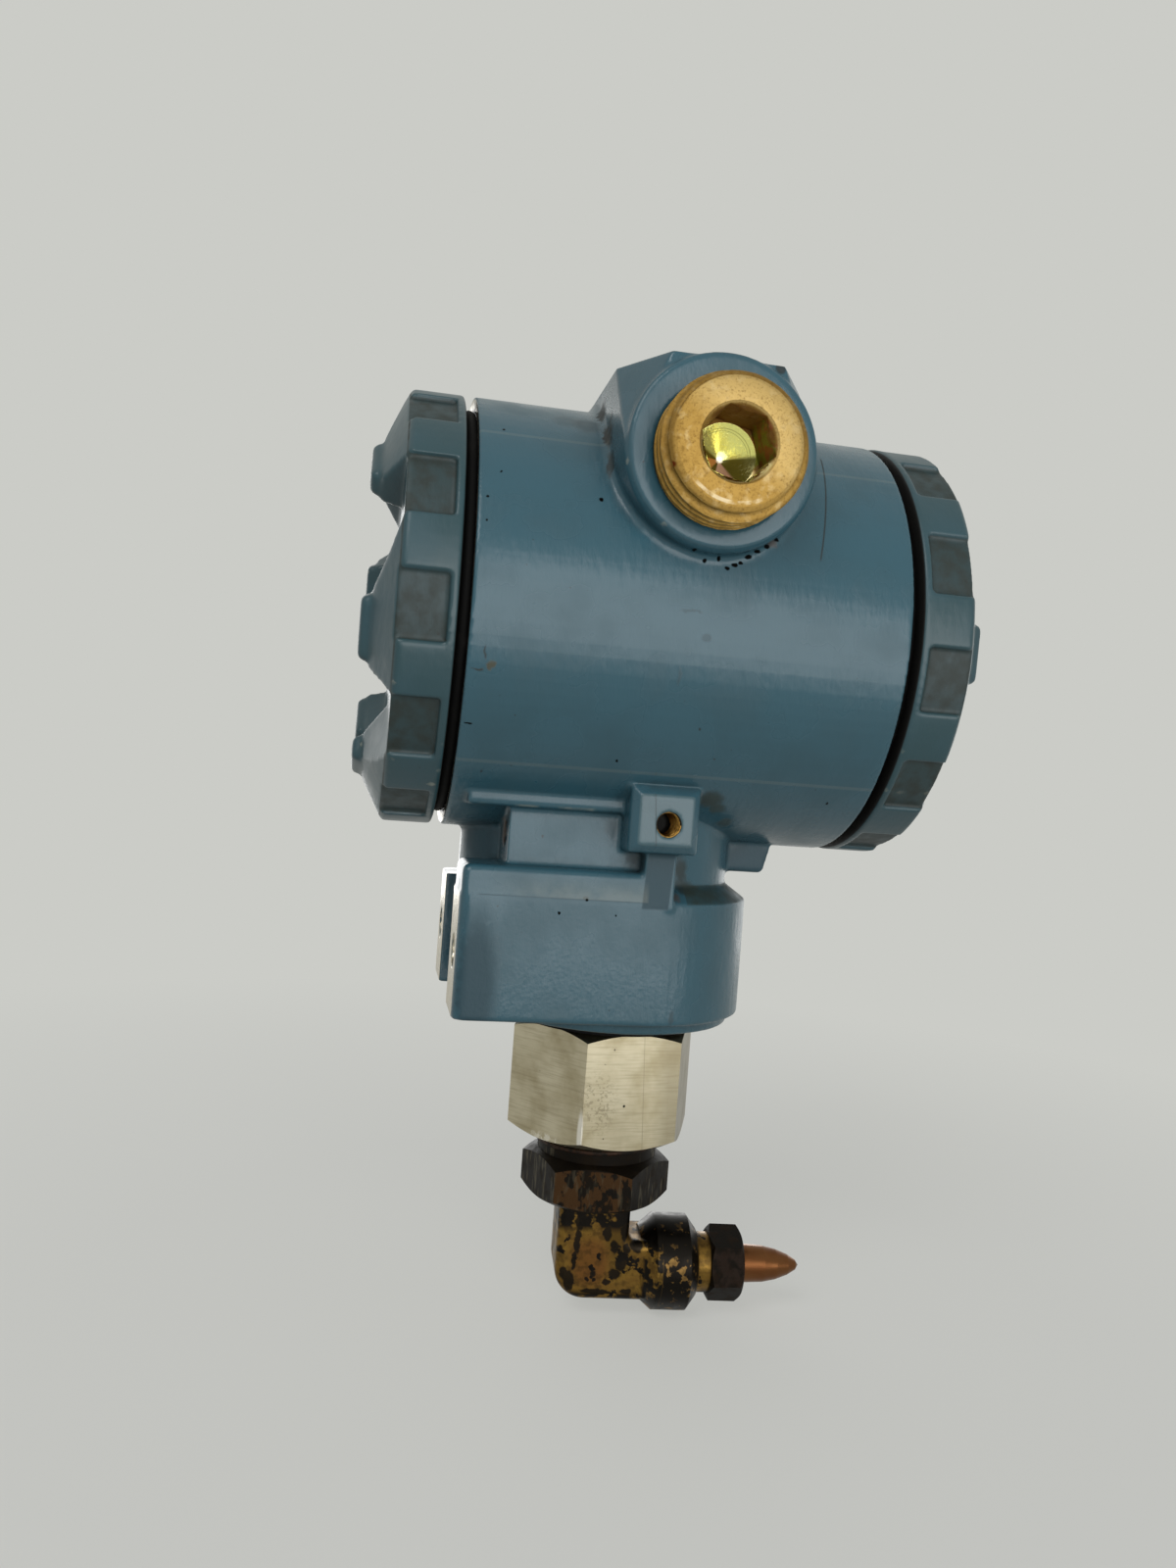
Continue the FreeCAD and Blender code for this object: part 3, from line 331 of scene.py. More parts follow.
def enamel(name, base, tones, gloss, wear, chips=()):
    """Semi-gloss enamel on an aluminium casting: worn edges with painted highlights on them, slight orange
    peel, dirt and painted shade in corners and creases.

    wear gives the masks with colours laid over the paint, and a mask where the metal was cut. chips are the
    places and sizes of spots where the paint has come off dark metal."""
    made, tree, shader, mm = new_material(name)
    soils, bare = wear(mm)
    torn = ragged(mm, 0.7)
    pits = either(*(near(torn, centre, reach, 0.4) for centre, reach in chips), 0.0)
    shades = [add(tree, "ShaderNodeAmbientOcclusion", {"Distance": reach}, samples=4, only_local=True)
              for reach in (0.004, 0.0011)]
    wide, close = (shade.outputs["AO"] for shade in shades)
    edge = graded(add(tree, "ShaderNodeNewGeometry").outputs["Pointiness"], start=0.54, full=0.62)
    open_edge = graded(wide, start=0.88, full=0.97)
    corner = graded(wide, start=0.78, full=0.42)
    crease_shade = graded(close, start=0.86, full=0.56)
    # Patches 9 mm wide are rubbed duller. Corners and creases, found by how shut in they are, are painted
    # dark in patches of 3 mm and 2.4 mm: painted shade, and dirt in the corners
    rubbed = blotches(mm, 9.0, 0.38, 0.72)
    dirt = either(both(corner, blotches(mm, 3.0, 0.3, 0.62, seed=2.0)),
                  both(crease_shade, blotches(mm, 2.4, 0.30, 0.50, seed=10.0)))
    specks = blotches(mm, 1.3, 0.755, 0.80, detail=1.0, seed=5.0)
    # Open edges are painted pale in patches of 4 mm: worn edges, with painted highlights along them
    worn = both(edge, open_edge, blotches(mm, 4.0, 0.44, 0.64, seed=8.0))
    paint = layered(base, [(both(rubbed, 0.55), tones.enamel_dull), (both(specks, 0.75), tones.grime_and_shade),
                           (both(worn, 0.55), tones.worn_edge_and_highlight), *soils, (both(dirt, 0.8), tones.grime_and_shade)])
    lines = blotches(mm, 0.9, 0.3, 0.7, seed=3.0)
    metal = layered(tones.machined, [(both(lines, 0.35), tones.steel_dark)])
    whole = layered(paint, [(bare, metal), (pits, tones.chip)])
    # Orange peel 1 mm wide is drawn out round the barrel, and sand grain 0.6 mm wide shows below it
    drawn = add(tree, "ShaderNodeVectorMath", {0: mm, 1: (1, 0.35, 0.35)}, operation="MULTIPLY")
    peel = add(tree, "ShaderNodeTexNoise", {"Vector": drawn.outputs[0], "Scale": 1 / 1.0, "Detail": 2.0})
    sand = add(tree, "ShaderNodeTexNoise", {"Vector": mm, "Scale": 1 / 0.6, "Detail": 3.0})
    relief = both(sand.outputs[0], between(along(mm, (0, 0, 1)), -30, 22, 2.0))
    grain = add(tree, "ShaderNodeBump", {"Strength": 0.3, "Distance": 0.0001, "Height": relief})
    bump = add(tree, "ShaderNodeBump", {"Strength": 0.6, "Distance": 0.0001, "Height": peel.outputs[0],
                                        "Normal": grain.outputs[0]})
    matt = either(dirt, both(rubbed, 0.35), pits, *(mask for mask, tone in soils))
    wire(shader, {"Base Color": whole, "Metallic": either(bare, pits), "Roughness": graded(matt, gloss, 0.62),
                  "Normal": bump.outputs[0]})
    return made


def two_tone(name, tones, size, rough, metallic=0.0, spread=(0.4, 0.7), stretch=(1, 1, 1), bump=0.1,
             over=None, specular=0.5):
    """A finish of two tones in patches of a size in millimetres, with roughness and relief to match."""
    made, tree, shader, mm = new_material(name)
    patch = blotches(mm, size, *spread, stretch=stretch)
    tone = layered(tones[0], [(patch, tones[1]), *(over(mm) if over else ())])
    grain = add(tree, "ShaderNodeBump", {"Strength": bump, "Distance": 0.00005, "Height": patch})
    wire(shader, {"Base Color": tone, "Roughness": graded(patch, *rough), "Normal": grain.outputs[0],
                  "Metallic": metallic, "Specular IOR Level": specular})
    return made


def placed(name, data):
    """A new object in the scene, for a mesh, a lamp or a camera."""
    made = bpy.data.objects.new(name, data)
    bpy.context.scene.collection.objects.link(made)
    return made


def plain_mesh(holder):
    """The mesh that an object's modifiers make; the object itself goes."""
    mesh = bpy.data.meshes.new_from_object(holder.evaluated_get(bpy.context.evaluated_depsgraph_get()))
    if not mesh.polygons:
        raise RuntimeError(holder.name + " came out empty")
    bpy.data.objects.remove(holder)
    return mesh


def smooth_piece(name, mesh):
    """A smooth shaded object of a mesh, both with one name."""
    mesh.name = name
    mesh.polygons.foreach_set("use_smooth", [True] * len(mesh.polygons))
    return placed(name, mesh)


def creased_piece(name, work, made):
    """A smooth piece with sharp creases, from a bmesh and its material."""
    mesh = bpy.data.meshes.new(name)
    work.to_mesh(mesh)
    work.free()
    piece = smooth_piece(name, mesh)
    mesh.set_sharp_from_angle(angle=SHARP_ANGLE)
    mesh.materials.append(made)
    return piece


def softened(node, grid, made, more, chosen):
    """A cast copy of a node, its edges and corners rounded as a mould leaves them.

    Every point is smoothed for a few rounds, and the chosen ones for more."""
    work = bmesh.new()
    work.from_mesh(NODES[node].data)
    bmesh.ops.remove_doubles(work, verts=work.verts, dist=1e-6)
    sharp = creased_piece(node + "_sharp", work, made)
    remesh = sharp.modifiers.new("remesh", "REMESH")
    remesh.mode = "VOXEL"
    remesh.voxel_size = grid
    mesh = plain_mesh(sharp)
    work = bmesh.new()
    work.from_mesh(mesh)
    few = [v for v in work.verts if chosen(v.co * 1000)]
    for verts, times in ((work.verts, CAST_ROUNDS), (few, more)):
        for _ in range(times):
            bmesh.ops.smooth_vert(work, verts=verts, factor=0.5, use_axis_x=True, use_axis_y=True,
                                  use_axis_z=True)
    work.to_mesh(mesh)
    work.free()
    full = placed(node + "_full", mesh)
    thin = full.modifiers.new("thin", "DECIMATE")
    thin.ratio = min(1.0, MOST_TRIANGLES / (2 * len(mesh.polygons)))
    mesh = plain_mesh(full)
    mesh.materials.clear()
    mesh.materials.append(made)
    return smooth_piece(node + "_casting", mesh)


# Spots where the paint has chipped off the casting: place, and reach along x, y and z
PAINT_CHIPS = [
    ((28.8, -36.1, 62.4), (0.42, 0.9, 0.42)), ((30.8, -34.7, 61.3), (0.45, 0.9, 0.4)),
    ((32.9, -34.9, 61.8), (0.35, 0.9, 0.45)), ((34.3, -34.8, 60.4), (0.45, 0.9, 0.4)),
    ((35.3, -34.6, 61.2), (0.7, 0.9, 0.38)), ((36.3, -34.6, 61.5), (0.55, 0.9, 0.35)),
    ((37.4, -34.5, 62.5), (0.7, 0.9, 0.45)), ((38.6, -34.6, 63.5), (0.9, 0.9, 0.35)),
    ((40.0, -34.4, 64.4), (0.9, 0.9, 0.4)), ((41.6, -34.0, 65.6), (0.8, 0.9, 0.35)),
    ((15.4, -32.1, 68.9), (0.38, 0.7, 0.38)), ((24.3, -22.3, 7.4), (0.17, 0.7, 0.17)),
    ((15.3, -22.4, 7.4), (0.28, 0.7, 0.28)), ((-1.1, -32.8, 67.4), (0.28, 0.7, 0.28)),
    ((0.8, -30.8, 71.6), (0.22, 0.7, 0.22)),
    ((-1.1, -34.0, 63.7), (0.2, 0.7, 0.22)), ((-1.3, -29.8, 35.2), (0.8, 0.9, 0.14)),
    ((21.6, -27.0, 31.4), (0.24, 0.7, 0.24)), ((57.3, -22.8, 27.2), (0.3, 0.7, 0.3)),
    ((19.5, -22.2, 9.7), (0.3, 0.7, 0.3)), ((1.2, -24.8, 79.4), (0.2, 0.7, 0.24)),
]

# Marks that use has left on the casting, and patches of painted shade in deep enamel: place, reach along x, y
# and z, colour of the mark, and its share
HOUSING_MARKS = [
    ((1.1, -33.7, 43.6), (0.75, 1.5, 1.0), "stain", 0.8),
    ((-0.7, -33.5, 43.0), (1.2, 1.2, 0.3), "grime_and_shade", 0.85),
    ((0.1, -34.2, 45.2), (0.3, 1.2, 1.4), "grime_and_shade", 0.75),
    ((40.9, -34.4, 65.0), (1.8, 1.6, 0.8), "rust", 0.55),
    ((39.4, -36.6, 89.6), (1.0, 1.0, 1.0), "grime_and_shade", 0.8),
    ((17.0, -17.5, 85.3), (0.9, 4.0, 3.4), "grime_and_shade", 0.9),
    ((16.9, -24.5, 80.3), (0.7, 4.2, 4.6), "grime_and_shade", 0.95),
    ((16.9, -29.0, 75.0), (0.6, 2.8, 3.8), "grime_and_shade", 0.8),
    ((14.4, -20.8, 82.6), (3.0, 4.0, 3.4), "grime_and_shade", 0.4),
    ((11.2, -20.2, 83.2), (3.2, 3.6, 3.0), "grime_and_shade", 0.28),
    # The lug, the notch beside the neck and the left of the body's front are painted in deep enamel as shade,
    # being turned from the light
    ((50.4, -6.0, 16.6), (7.5, 2.0, 4.6), "enamel_shade_and_seam", 0.8),
    ((3.4, -6.6, 17.5), (5.0, 6.5, 7.0), "enamel_shade_and_seam", 0.85),
    ((3.0, -22.4, -4.4), (5.0, 1.2, 16.0), "enamel_shade_and_seam", 0.85),
    ((38.3, -21.9, 26.5), (2.6, 3.6, 2.2), "verdigris", 0.85),
    ((40.0, -20.1, 25.1), (1.8, 2.4, 1.6), "verdigris", 0.75),
    ((42.6, -16.2, 22.8), (1.8, 2.6, 1.4), "verdigris", 0.7),
    ((35.5, -17.6, 14.6), (1.6, 2.0, 2.6), "window_soil", 0.8),
    ((36.4, -18.0, 12.0), (2.6, 2.6, 1.8), "window_soil", 0.85),
    ((34.3, -20.5, 10.6), (1.2, 2.2, 0.9), "rust", 0.5),
    ((7.1, -13.0, 19.0), (0.7, 4.0, 3.6), "rust", 0.7),
    ((19.4, -22.1, 9.9), (0.6, 0.6, 0.4), "grime_and_shade", 0.45),
    ((34.6, -21.6, -8.4), (0.5, 1.2, 1.5), "grime_and_shade", 0.45),
    ((23.4, -18.7, 20.8), (1.6, 1.0, 2.4), "grime_and_shade", 0.25),
    ((28.5, -33.9, 44.3), (0.5, 1.2, 1.9), "grime_and_shade", 0.3),
    ((31.9, -35.1, 50.1), (0.9, 1.0, 0.7), "grime_and_shade", 0.3),
    ((29.3, -35.3, 53.7), (2.4, 1.0, 0.3), "grime_and_shade", 0.3),
]


def housing_soils(mm, tones):
    """Masks of the marks, scratches, dirt, pale patches and painted shade on the casting, each with its
    colour.
    """
    x, y, z = along(mm, (1, 0, 0)), along(mm, (0, 1, 0)), along(mm, (0, 0, 1))
    moved = ragged(mm, 1.6)
    layers = []
    for centre, reach, tone, share in HOUSING_MARKS:
        wide = max(reach) > 1
        spot = near(moved if wide else mm, centre, reach, soft=0.6 if wide else 0.35)
        layers.append((both(spot, share), getattr(tones, tone)))
    # The long scratch right of the conduit ring leans 10 degrees from upright
    line = between(along(mm, (1, 0, -0.179)), 37.36, 37.50, 0.1)
    scratch = both(line, between(z, 63.6, 81.5, 0.6), between(y, -36, -15), 0.85)
    # Dirt lies on the shoulder right of the neck
    shelf = both(between(z, 9.7, 12.2, 0.25), between(x, 36, 60), between(y, -40, -4, 7.0))
    shelf_dirt = both(shelf, graded(blotches(mm, 3.0, 0.3, 0.7), 0.45, 0.9))
    # The web under the ground boss is painted in deep enamel as shade, being turned from the light
    web = both(between(along(mm, (1, 0, -0.06)), 27.9, 32.0, 0.2), between(z, 8.9, 17.4, 0.4),
               between(y, -22.8, -20.6), 0.85)
    # The front of the body is painted paler in patches above the mould line, thinning out upwards and to the
    # left
    on_body = both(between(x, 3, 29, 0.5), between(y, -23, -21.5))
    pale_band = both(between(z, 9.7, 10.6, 2.4), between(z, 9.68, 15, 0.06), on_body,
                between(x, 13, 29, 9.0), blotches(mm, 4.0, 0.2, 0.6), 0.2)
    mould_line = both(between(z, 9.62, 9.72, 0.1), on_body, 0.5)
    # Another mould line runs down the face of the ground boss, which is painted a little paler
    on_boss = between(y, -25.8, -25.4)
    seam = both(between(along(mm, (1, 0, 0.08)), 30.5, 30.62, 0.06), on_boss, 0.5)
    # The inside of the empty ground hole is painted dark as shade, behind its bright thread
    hole = both(between(off_axis(mm, GROUND_HOLE, (1, 0, 1)), 0, 2.0), between(y, -25.4, -16))
    return [*layers, (scratch, tones.grime_and_shade), (shelf_dirt, tones.verdigris), (web, tones.enamel_shade_and_seam),
            (pale_band, tones.worn_edge_and_highlight), (mould_line, tones.enamel_shade_and_seam),
            (both(on_boss, 0.1), tones.worn_edge_and_highlight), (seam, tones.grime_and_shade), (hole, "1A130A")]


def housing_cuts(mm):
    """A mask of the machined faces and holes of the casting."""
    x, z = along(mm, (1, 0, 0)), along(mm, (0, 0, 1))
    low = between(z, -30, 15.5)
    pads = both(between(x, -0.04, 0.04, 0.02), low)
    inside = between(x, BARREL_ENDS[0] + 0.05, BARREL_ENDS[1] - 0.05, 0.02)
    ends = both(graded(inside, 1.0, 0.0), between(z, 17, 92))
    bore = between(off_axis(mm, BARREL_AXIS, (0, 1, 1)), 0, BORE_R)
    entry = between(off_axis(mm, CONDUIT_AXIS, (1, 0, 1)), 0, ENTRY_R)
    mirrored = add(mm.id_data, "ShaderNodeVectorMath", {0: mm}, operation="ABSOLUTE").outputs[0]
    taps = both(between(off_axis(mirrored, BRACKET_HOLES, (0, 1, 1)), 0, 2.6), low, between(x, 0, 11))
    return either(pads, ends, bore, entry, taps)


class TRANSMITTER_OT_housing(bpy.types.Operator):
    """Paint the casting, with its cut faces bare, the marks of use and painted shade"""
    bl_idname = "transmitter.housing"
    bl_label = "Housing"

    def execute(self, context):
        tones = context.scene.transmitter_colours
        sizes = context.scene.transmitter_sizes

        def wear(mm):
            return housing_soils(mm, tones), housing_cuts(mm)

        def on_body(point):
            return BODY_HEIGHTS[0] < point.z < BODY_HEIGHTS[1] and point.x > PAD_EDGE

        paint = enamel("Enamel on cast aluminium", tones.enamel, tones, 0.23, wear, PAINT_CHIPS)
        cast = softened("housing", sizes.housing_grid, paint, sizes.housing_softening, on_body)
        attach(cast, "case")
        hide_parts("housing")
        return {"FINISHED"}


class TRANSMITTER_OT_covers(bpy.types.Operator):
    """Paint the two screw covers, with dried dirt in the windows of their rims and the gaps at their seats
    painted black as shade
    """
    bl_idname = "transmitter.covers"
    bl_label = "Covers"

    def execute(self, context):
        tones = context.scene.transmitter_colours
        sizes = context.scene.transmitter_sizes
        for node, (seat, out) in COVER_SEATS.items():
            start = seat * out

            def wear(mm):
                rim = off_axis(mm, BARREL_AXIS, (0, 1, 1))
                depth = along(mm, (out, 0, 0))
                floor = both(between(rim, *WINDOW_FLOOR_R, 0.15),
                             between(depth, *(start + reach for reach in WINDOW_DEPTHS)))
                patchy = graded(blotches(mm, 2.2, 0.3, 0.7, seed=4.0), 0.55, 0.95)
                streak = blotches(mm, 1.2, 0.62, 0.75, seed=6.0)
                # The faces in the gap at each seat are painted black as shade
                gap_shade = both(between(rim, 30, 36), between(depth, start - 1, start + 0.1, 0.1))
                spigot = both(between(rim, 0, SPIGOT_R + 0.1), between(depth, start - 20, start + 0.1))
                return [(both(floor, patchy), tones.window_soil), (both(floor, streak, 0.6), tones.grime_and_shade),
                        (gap_shade, tones.rubber)], spigot

            def on_face(point):
                far_out = math.hypot(point.y, point.z - BARREL_AXIS[2])
                return point.x * out > start + LOBE_DEPTH and far_out < LOBE_R

            paint = enamel("Enamel on " + node.replace("_", " "), tones.cover_enamel, tones, 0.32, wear)
            cast = softened(node, sizes.cover_grid, paint, sizes.cover_softening, on_face)
            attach(cast, "circuit_cap" if out < 0 else "terminal_cap")
            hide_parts(node)
        return {"FINISHED"}


class TRANSMITTER_OT_seals(bpy.types.Operator):
    """Give the cover seals and the sensor's gasket their rubber"""
    bl_idname = "transmitter.seals"
    bl_label = "Seals"

    def execute(self, context):
        tones = context.scene.transmitter_colours
        # Moulded rubber is matt and black, with a little grey dust in patches of 2 mm
        rubber = two_tone("Nitrile rubber", (tones.rubber, "1C1B19"), 2.0, (0.7, 0.85), spread=(0.5, 0.8),
                          specular=0.15)
        dress(rubber, "circuit_cover_seal", "terminal_cover_seal", "sensor_gasket")
        return {"FINISHED"}


# Colours round the drill point, by angle from the right, as thin passivation shows them
DRILL_SECTORS = [
    (-180, "D08A48"), (-138, "D69450"), (-128, "6A5A24"), (-112, "6A5A24"), (-104, "E0B69E"), (-64, "D8AA90"),
    (-54, "6E6728"), (2, "6E6A28"), (10, "FFFF96"), (150, "FFFF9A"), (163, "8C7A2E"),
]


def zinc_plating(tones, face):
    """Yellow passivated zinc on turned steel: grainy gold, a bright drill point, painted shade in the thread
    roots, on the upper crests and the top of the key socket, and painted light on the socket's lower walls
    and the face.
    """
    made, tree, shader, mm = new_material("Yellow passivated zinc")
    radius = off_axis(mm, CONDUIT_AXIS, (1, 0, 1))
    depth = along(mm, (0, -1, 0))
    away = add(tree, "ShaderNodeVectorMath", {0: mm, 1: CONDUIT_AXIS}, operation="SUBTRACT").outputs[0]
    right, above = along(away, (1, 0, 0)), along(away, (0, 0, 1))
    thin = blotches(mm, 0.9, 0.45, 0.70, detail=5.0)
    grains = blotches(mm, 0.3, 0.48, 0.72, detail=2.0, seed=2.0)
    pale = blotches(mm, 1.4, 0.52, 0.72, detail=5.0, seed=7.0)
    rainbow = blotches(mm, 2.2, 0.45, 0.55, seed=4.0)
    blush = blotches(mm, 1.8, 0.5, 0.6, seed=13.0)
    bottom = face - KEY_DEPTH - 3.4
    in_socket = both(between(radius, 0, SOCKET_R, 0.1), between(depth, bottom, face - 0.6, 0.4))
    # The walls at the top of the socket, which face down and left, are painted brown as shade; the walls at
    # the bottom are painted pale as lit, and throw gold light on the drill point
    upper = between(along(away, (0.45, 0, 0.9)), 1.5, 9.0, 1.5)
    right_wall = both(in_socket, between(right, 3.4, 9.0, 0.5))
    lower_lit = both(in_socket, between(along(away, (0.2, 0, 1)), -9.0, -1.5, 1.0))
    on_cone = both(between(radius, 0, CONE_R, 0.05), between(depth, bottom, face - KEY_DEPTH - 0.02, 0.02))
    low_cone = both(on_cone, between(along(away, (-0.09, 0, 1)), -6, 0, 0.15))
    turn = add(tree, "ShaderNodeMath", {0: above, 1: right}, operation="ARCTAN2")
    share = graded(turn.outputs[0], start=-math.pi, full=math.pi)
    ramp = add(tree, "ShaderNodeValToRGB", {0: share})
    for angle, code in DRILL_SECTORS[2:]:
        ramp.color_ramp.elements.new((angle + 180) / 360)
    for stop, (angle, code) in zip(ramp.color_ramp.elements, DRILL_SECTORS):
        stop.position = (angle + 180) / 360
        stop.color = linear(code)
    rings = either(between(radius, 4.02, 4.08, 0.05), between(radius, 3.72, 3.76, 0.04))
    point = between(radius, 0, 0.35, 0.25)
    # A pale line at the lower rim of the face is a painted highlight
    rim_highlight = both(between(radius, 8.1, 8.5, 0.12), between(depth, face - 0.3, face + 1, 0.15),
                   between(along(mm, (0, 0, 1)), 60, 69.2, 1.2), blotches(mm, 2.0, 0.4, 0.6, seed=9.0))
    spot = near(mm, (22.4, -44.2, 72.0), (1.1, 1.1, 0.6))
    # The top and right of the face are painted paler as a highlight, and the tapered crests above it browner
    # as shade
    lit = both(between(depth, face - 0.25, face + 1, 0.15),
               between(along(away, (0.62, 0, 0.79)), 2.5, 12, 4.0))
    outside = between(radius, *PLUG_THREAD_R)
    brown = both(between(depth, 30, face - 0.45, 0.25), outside,
                 between(along(away, (-0.25, 0, 1)), 0.0, 12, 5.0))
    # Thread roots, found by how shut in they are, are painted dark as shade
    shade = add(tree, "ShaderNodeAmbientOcclusion", {"Distance": 0.0012}, samples=4, only_local=True)
    groove_shade = both(graded(shade.outputs["AO"], start=0.92, full=0.55), outside)
    tone = layered(tones.zinc, [
        (both(thin, 0.55), tones.zinc_dark), (both(lit, 0.45), "E2C88A"), (both(grains, 0.4), "75582A"),
        (both(pale, 0.6), "CDB684"), (both(brown, 0.42), "6A4C1E"), (both(groove_shade, 0.85), "3A2A10"),
        (both(in_socket, upper, 0.75), "5A3416"), (both(right_wall, rainbow, 0.7), "6E7A2A"),
        (both(right_wall, blush, 0.7), "8E4A30"), (lower_lit, "F5E6A8"), (on_cone, ramp.outputs[0]),
        (both(on_cone, rings, 0.45), "6E6A28"), (both(on_cone, point), "FFF6DC"),
        (both(rim_highlight, 0.6), "E6DABB"), (spot, "6A2F14")])
    bump = add(tree, "ShaderNodeBump", {"Strength": 0.35, "Distance": 0.00003, "Height": grains})
    clean = either(on_cone, lower_lit)
    dull = either(both(either(thin, grains), graded(clean, 1.0, 0.0)), graded(clean, 0.8, 0.0))
    metal = both(graded(on_cone, 1.0, 0.7), graded(low_cone, 1.0, 0.5))
    wire(shader, {"Base Color": tone, "Roughness": graded(dull, 0.18, 0.70), "Metallic": metal,
                  "Normal": bump.outputs[0]})
    return made


def plug_rings(sizes):
    """Rings of radius and depth for the plug, from its inner end round to the drill point in its socket."""
    count = sizes.plug_columns
    low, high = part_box("conduit_plug")
    start, face = -high.y * 1000, -low.y * 1000
    inside = [Vector((v.co.x * 1000 - CONDUIT_AXIS[0], v.co.z * 1000 - CONDUIT_AXIS[2]))
              for v in NODES["conduit_plug"].data.vertices if abs(face - KEY_DEPTH + v.co.y * 1000) < 0.1]
    corner = max((p for p in inside if p.length < 6), key=lambda p: p.length)
    first = math.atan2(corner.y, corner.x)
    flat_r = corner.length * math.cos(math.pi / 6)
    crest = (high.x - low.x) * 500
    pitch, thread = sizes.plug_pitch * 1000, sizes.plug_thread * 1000
    angles = [first + 2 * math.pi * k / count for k in range(count)]

    def hexagon(k):
        turn = (2 * math.pi * k / count) % (math.pi / 3) - math.pi / 6
        return flat_r / math.cos(turn)

    def threaded(k, depth):
        phase = (depth / pitch - angles[k] / (2 * math.pi)) % 1
        slope = min(max((abs(phase - 0.5) - 0.10) / 0.28, 0), 1)
        cone = crest - 0.8 * max(depth - face + PLUG_TAPER, 0) - 1.1 * max(depth - face + 0.4, 0)
        run_out = min(max((face - 0.35 - depth) / 0.4, 0), 1)
        return cone - thread * (1 - slope) * run_out

    rings = [([0.01] * count, start), ([crest - 1.2] * count, start), ([crest - 0.4] * count, start + 1),
             ([crest - 0.4] * count, RING_FACE - 0.6)]
    for step in range(THREAD_STEPS + 1):
        depth = RING_FACE - 0.4 + (face - RING_FACE + 0.4) * step / THREAD_STEPS
        rings.append(([threaded(k, depth) for k in range(count)], depth))
    mouth = flat_r + 1.0
    for depth in (0.0, 0.13, 0.26, 0.4, 0.6, 0.8, 1.0, 4.0, KEY_DEPTH):
        rings.append(([max(hexagon(k), mouth - depth) for k in range(count)], face - depth))
    for share in (1.0, 0.98, 0.66, 0.33, 0.004):
        rings.append(([flat_r * share] * count, face - KEY_DEPTH - DRILL_DEPTH * (1 - share)))
    return angles, rings


class TRANSMITTER_OT_plug(bpy.types.Operator):
    """Turn the conduit plug with its pipe thread, key socket and drill point"""
    bl_idname = "transmitter.plug"
    bl_label = "Conduit plug"

    def execute(self, context):
        tones = context.scene.transmitter_colours
        angles, rings = plug_rings(context.scene.transmitter_sizes)
        work = bmesh.new()
        grid = []
        for radii, depth in rings:
            grid.append([work.verts.new(((CONDUIT_AXIS[0] + r * math.cos(a)) / 1000, -depth / 1000,
                                         (CONDUIT_AXIS[2] + r * math.sin(a)) / 1000))
                         for r, a in zip(radii, angles)])
        count = len(angles)
        for near_ring, far_ring in zip(grid, grid[1:]):
            for k in range(count):
                n = (k + 1) % count
                work.faces.new((near_ring[k], near_ring[n], far_ring[n], far_ring[k]))
        bmesh.ops.remove_doubles(work, verts=grid[0] + grid[-1], dist=0.00005)
        bmesh.ops.dissolve_degenerate(work, edges=work.edges, dist=1e-9)
        bmesh.ops.recalc_face_normals(work, faces=work.faces)
        plating = zinc_plating(tones, -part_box("conduit_plug")[0].y * 1000)
        plug = creased_piece("threaded_plug", work, plating)
        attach(plug, "case")
        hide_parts("conduit_plug")
        return {"FINISHED"}


def hexagon_wear(mm, tones):
    """Stains, brushing, pits and scratches on the sensor's hexagon, and painted shade on its right side."""
    stain = blotches(mm, 7.0, 0.42, 0.7, detail=5.0, seed=3.0)
    brushing = blotches(mm, 0.3, 0.42, 0.70, detail=2.0, seed=1.0, stretch=(0.06, 0.06, 1.0))
    worn = both(near(mm, (25.4, -15.0, -24.0), (4.5, 3.0, 7.0), 0.8),
                blotches(mm, 0.45, 0.53, 0.60, detail=2.0, seed=12.0))
    pits = blotches(mm, 0.9, 0.765, 0.79, detail=1.0, seed=11.0)
    hole = near(mm, (29.8, -14.3, -24.5), (0.28, 0.5, 0.28))
    across = along(mm, (1, 0, 0.05))
    scratch = both(between(across, 31.85, 31.92, 0.05), between(along(mm, (0, 1, 0)), -20, -10))
    bright = near(mm, (22.6, -15.2, -29.0), (0.55, 1.2, 4.6))
    scars = both(near(mm, (18.0, -9.2, -31.4), (4.5, 4.5, 0.9)),
                 blotches(mm, 0.8, 0.45, 0.6, seed=14.0))
    # The flat facing right and back, and the right of the hexagon, are painted darker as shade
    far_flat_shade = facing(mm, (0.93, -0.36, 0))
    right_shade = between(across, 36.2, 50, 2.8)
    return [(both(stain, 0.3), tones.steel_dark), (both(brushing, 0.3), "857A60"),
            (both(right_shade, 0.5), "857A60"), (both(far_flat_shade, 0.35), "565040"),
            (both(worn, 0.4), "5E553F"), (both(pits, 0.7), "2A261E"), (hole, "0E0C0A"),
            (both(scratch, 0.4), "6A6150"), (both(bright, 0.75), "F4F0E6"),
            (both(scars, 0.6), "EDE8DA")]


